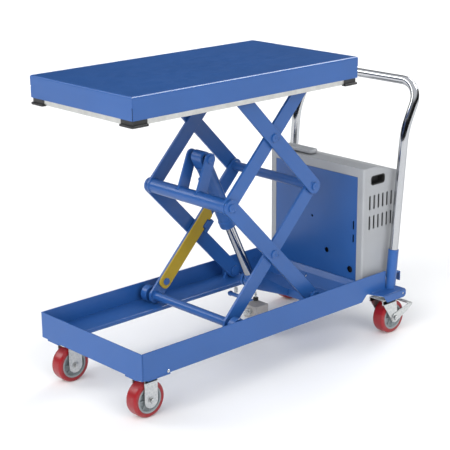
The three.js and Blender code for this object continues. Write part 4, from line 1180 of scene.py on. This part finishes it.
# ---------- casters
# Each caster is drawn with its axle along Y, over the origin, and then put in its place.
WHEEL_R, HALF_W, HUB_R, TREAD_EDGE = 63.5, 25, 48, 9
AXLE = Vector((0, 0, WHEEL_R))
ON_AXLE = Matrix.Translation(AXLE) @ ALONG["y"]
LEG_IN, LEG_OUT, LEG_T = 29.5, 33.5, 4
AXLE_HOLE = 6.2
SWIVEL_X = -38


def two_faced(half):
    """A wheel's section from the profile of one face, in radii and depths below the rim's face."""
    return [(r, h - HALF_W) for r, h in half] + [(r, HALF_W - h) for r, h in half[::-1]]


def tread_part():
    r, e = WHEEL_R, TREAD_EDGE
    return lathe(two_faced([(HUB_R + 0.3, 1), *arc(r - e, e + 0.2, e, -90, 0, 6), (r, HALF_W)]), 96)


def hub_part():
    return lathe(two_faced([
        (6.4, -3), (14, -3), (15, -2.2), (16, 6), (18, 9), (35, 10), (38.5, 8), (41, 1.4), (42, 0.6),
        (HUB_R - 0.6, 0.6), (HUB_R, 1.4),
    ]), 80)


def hub_ribs():
    rib = block(16, 38, -1.6, 1.6, 15.5, 21.5, 0.8, 0.6)
    turns = [turned(45 * k, "Z") for k in range(8)]
    flip = Matrix.Rotation(math.pi, 4, "X")
    return [moved(rib, face @ turn) for face in (flip, Matrix.Identity(4)) for turn in turns]


def axle_parts():
    nut = round_at(bolt(17, 7, 1.6), (0, LEG_OUT, WHEEL_R))
    spacer = round_at(drum(9, HALF_W + 3.2, LEG_IN - 0.1, 0.4, bore=AXLE_HOLE, n=32), AXLE)
    return [between_y(6, AXLE, -LEG_OUT - 7, LEG_OUT + 7, bevel=0.8, n=32), *both(nut, spacer)]


def fork_parts(leg, top, x0, x1):
    """Two legs and the folded crown that joins them over the wheel."""
    out, t, low = LEG_OUT, LEG_T, 128
    crown = fillet([(-out, low), (-out, top), (out, top), (out, low), (out - t, low), (out - t, top - 5),
                    (t - out, top - 5), (t - out, low)], [0, 7, 7, 0, 0, 4, 4, 0], 6)
    leg = slab_y(leg, LEG_IN, out, holes=[circle(0, WHEEL_R, AXLE_HOLE, 24)], bevel=1.0, steps=3)
    return [*both(leg), slab_x(crown, x0, x1)]


def fixed_fork():
    leg = [(27, 146), (-27, 146)] + arc(0, WHEEL_R, 27, 180, 360, 24)
    return [*fork_parts(leg, 146, -27, 27), slab(rounded(-52, 52, -42, 42, 8), 145.4, 150.6, bevel=0.9)]


def swivel_fork():
    leg = fillet([(3, 147), (-72, 147), (-71, 134), (-17, WHEEL_R - 6), (-12, WHEEL_R - 17),
                  (12, WHEEL_R - 17), (18, WHEEL_R)], [6, 5, 9, 16, 10, 14, 14], 8)
    race = lathe([(0, 149), (30, 149), (34, 151), (35, 154), (33, 156.2), (14, 156.2), (14, 166),
                  (0, 166)], 64)
    return [*fork_parts(leg, 150, -72, 3), shifted(race, SWIVEL_X, 0, 0)]


def swivel_top():
    plate = slab(rounded(-52, 52, -44, 44, 8), 170.6, 175.6, bevel=0.9)
    race = lathe([(14.6, 157), (34, 157), (36.5, 159), (36.5, 163), (33, 167), (24, 169), (22, 171),
                  (14.6, 171)], 64)
    return [shifted(part, SWIVEL_X, 0, 0) for part in (plate, race)]


def ball_ring():
    ball = drum(2.0, -2.0, 2.0, 1.9, steps=4, n=12)
    return [shifted(ball, x, y, 156.6) for x, y in circle(SWIVEL_X, 0, 33.6, 20)]


def pedal_parts():
    cheek = link((0, WHEEL_R), (86, 96), 18, 10, 16)
    slope = Matrix.Translation((84, 0, 101)) @ turned(17, "Y")
    pad = slab(rounded(-19, 17, -LEG_OUT - 3, LEG_OUT + 3, 6), -2, 2, bevel=1.2, steps=3)
    grips = [block(x, x + 2, 2 - LEG_OUT, LEG_OUT - 2, 1.6, 3.8, 0.6, 0.5) for x in range(-15, 15, 5)]
    cheek = slab_y(cheek, LEG_OUT + 0.4, LEG_OUT + 3, holes=[circle(0, WHEEL_R, 11.4, 32)], bevel=0.7)
    return both(cheek) + placed([pad, *grips], slope)


def wheel_pieces(end, word, place):
    wheel = f"{end}_wheel_{word}"
    piece(f"{end}_tire_{word}", moved(tread_part(), place @ ON_AXLE), TREAD, wheel,
          f"{end}_tread_{word}")
    piece(f"{end}_wheel_hub_{word}", placed([hub_part(), *hub_ribs()], place @ ON_AXLE), HUB, wheel,
          f"{end}_hub_{word}")


for side, word in SIDES:
    centre = pivot("front_wheel_spin_" + word)
    place = Matrix.Translation((centre.x, centre.y, 0))
    for name, parts, replaces in (("fork", fixed_fork(), "front_fork_" + word), ("axle", axle_parts(), ())):
        piece(f"fixed_{name}_{word}", placed(parts, place), ZINC, "base", replaces)
    wheel_pieces("front", word, place)

    spin = "rear_wheel_spin_" + word
    axis, centre = Vector(JOINTS[spin]["axis"]), pivot(spin)
    place = Matrix.Translation((centre.x, centre.y, 0)) @ Matrix.Rotation(math.atan2(-axis.x, axis.y), 4, "Z")
    swivel = "rear_swivel_" + word
    for name, parts, finish, body, replaces in (
        ("swivel_fork_", swivel_fork(), ZINC, swivel, "rear_fork_" + word),
        ("swivel_axle_", axle_parts(), ZINC, swivel, ()),
        ("swivel_balls_", ball_ring(), MACHINED, swivel, ()),
        ("swivel_top_", swivel_top(), ZINC, "base", "swivel_plate_" + word),
    ):
        piece(name + word, placed(parts, place), finish, body, replaces)
    wheel_pieces("rear", word, place)
    piece("pedal_" + word, placed(pedal_parts(), place), ZINC, "pedal_" + word, "brake_pedal_" + word)

# ---------- inner units keep their CAD shape
for node, material in (("battery", BLACK[0]), ("power_pack", DARK), ("charger", BLACK[0])):
    mesh = frame["nodes"][node].data
    mesh.materials.clear()
    mesh.materials.append(material)

# ---------- floor, light, camera
pale = Shader("pale floor", (0.86, 0.86, 0.86), 0.75)
pale.set("Specular IOR Level", 0.15)
pale.tone(0.8, 3, (0.90, 0.90, 0.905), (0.915, 0.915, 0.915))
bpy.ops.mesh.primitive_plane_add(size=120, location=(0, 0, 0))
floor = bpy.context.object
floor.name = "studio_floor"
floor.data.materials.append(pale.m)

world = bpy.data.worlds.new("studio")
bpy.context.scene.world = world
world.use_nodes = True
nodes, links = world.node_tree.nodes, world.node_tree.links
direction = nodes.new("ShaderNodeTexCoord")
height = nodes.new("ShaderNodeSeparateXYZ")
links.new(direction.outputs["Generated"], height.inputs["Vector"])
# The sky is dark near the horizon and bright overhead.
sky = nodes.new("ShaderNodeMapRange")
sky.interpolation_type = "SMOOTHSTEP"
for key, value in (("From Min", 0.46), ("From Max", 0.80), ("To Min", 0.015), ("To Max", 0.86)):
    sky.inputs[key].default_value = value
links.new(height.outputs["Z"], sky.inputs["Value"])
# Behind the floor the studio is plain and pale, while gloss reflects the darker sky above.
BACKDROP_STRENGTH = 1.05
seen = nodes.new("ShaderNodeLightPath")
backdrop = nodes.new("ShaderNodeMix")
backdrop.inputs["B"].default_value = BACKDROP_STRENGTH
links.new(seen.outputs["Is Camera Ray"], backdrop.inputs["Factor"])
links.new(sky.outputs["Result"], backdrop.inputs["A"])
background = nodes["Background"]
background.inputs["Color"].default_value = (0.95, 0.97, 1.0, 1)
links.new(backdrop.outputs["Result"], background.inputs["Strength"])


def soft_sun(name, azimuth, elevation, spread, strength, matt=True, gloss=True):
    """A wide sun, so that the floor is lit the same everywhere. It can leave out matt light or gloss."""
    light = bpy.data.lights.new(name, "SUN")
    light.angle, light.energy = math.radians(spread), math.pi * strength
    o = added(name, light)
    a, e = math.radians(azimuth), math.radians(elevation)
    back = Vector((math.sin(a) * math.cos(e), -math.cos(a) * math.cos(e), math.sin(e)))
    o.location = back * 6
    o.rotation_mode = "QUATERNION"
    o.rotation_quaternion = back.to_track_quat("Z", "Y")
    o.visible_diffuse, o.visible_glossy = matt, gloss


soft_sun("key", -80, 20, 52, 0.97, gloss=False)
soft_sun("fill", -6, 20, 52, 0.72, gloss=False)
soft_sun("rear", 108, 38, 26, 0.26)
soft_sun("far side", 213, 32, 24, 0.20)
soft_sun("edge glint", 74, 46, 22, 0.85, matt=False)

AZIMUTH, ELEVATION, ROLL = map(math.radians, (-42.87, 16.90, -0.41))
LENS = 106.675
CAMERA = TABLE @ Vector((-2459.06, -3310.53, 1862.13))
right = Vector((math.cos(AZIMUTH), math.sin(AZIMUTH), 0))
ahead = Vector((-math.sin(AZIMUTH), math.cos(AZIMUTH), 0))
forward = ahead * math.cos(ELEVATION) - Vector((0, 0, math.sin(ELEVATION)))
up = right.cross(forward)
tilted = right * math.cos(ROLL) + up * math.sin(ROLL)
upward = -right * math.sin(ROLL) + up * math.cos(ROLL)
camera = added("camera", bpy.data.cameras.new("camera"))
camera.data.lens, camera.data.sensor_width = LENS, 36
camera.data.clip_start, camera.data.clip_end = 0.1, 200
rotation = Matrix((tilted, upward, -forward)).transposed()
camera.matrix_world = Matrix.Translation(CAMERA) @ rotation.to_4x4()
bpy.context.scene.camera = camera
bpy.context.scene.view_settings.view_transform = "Standard"
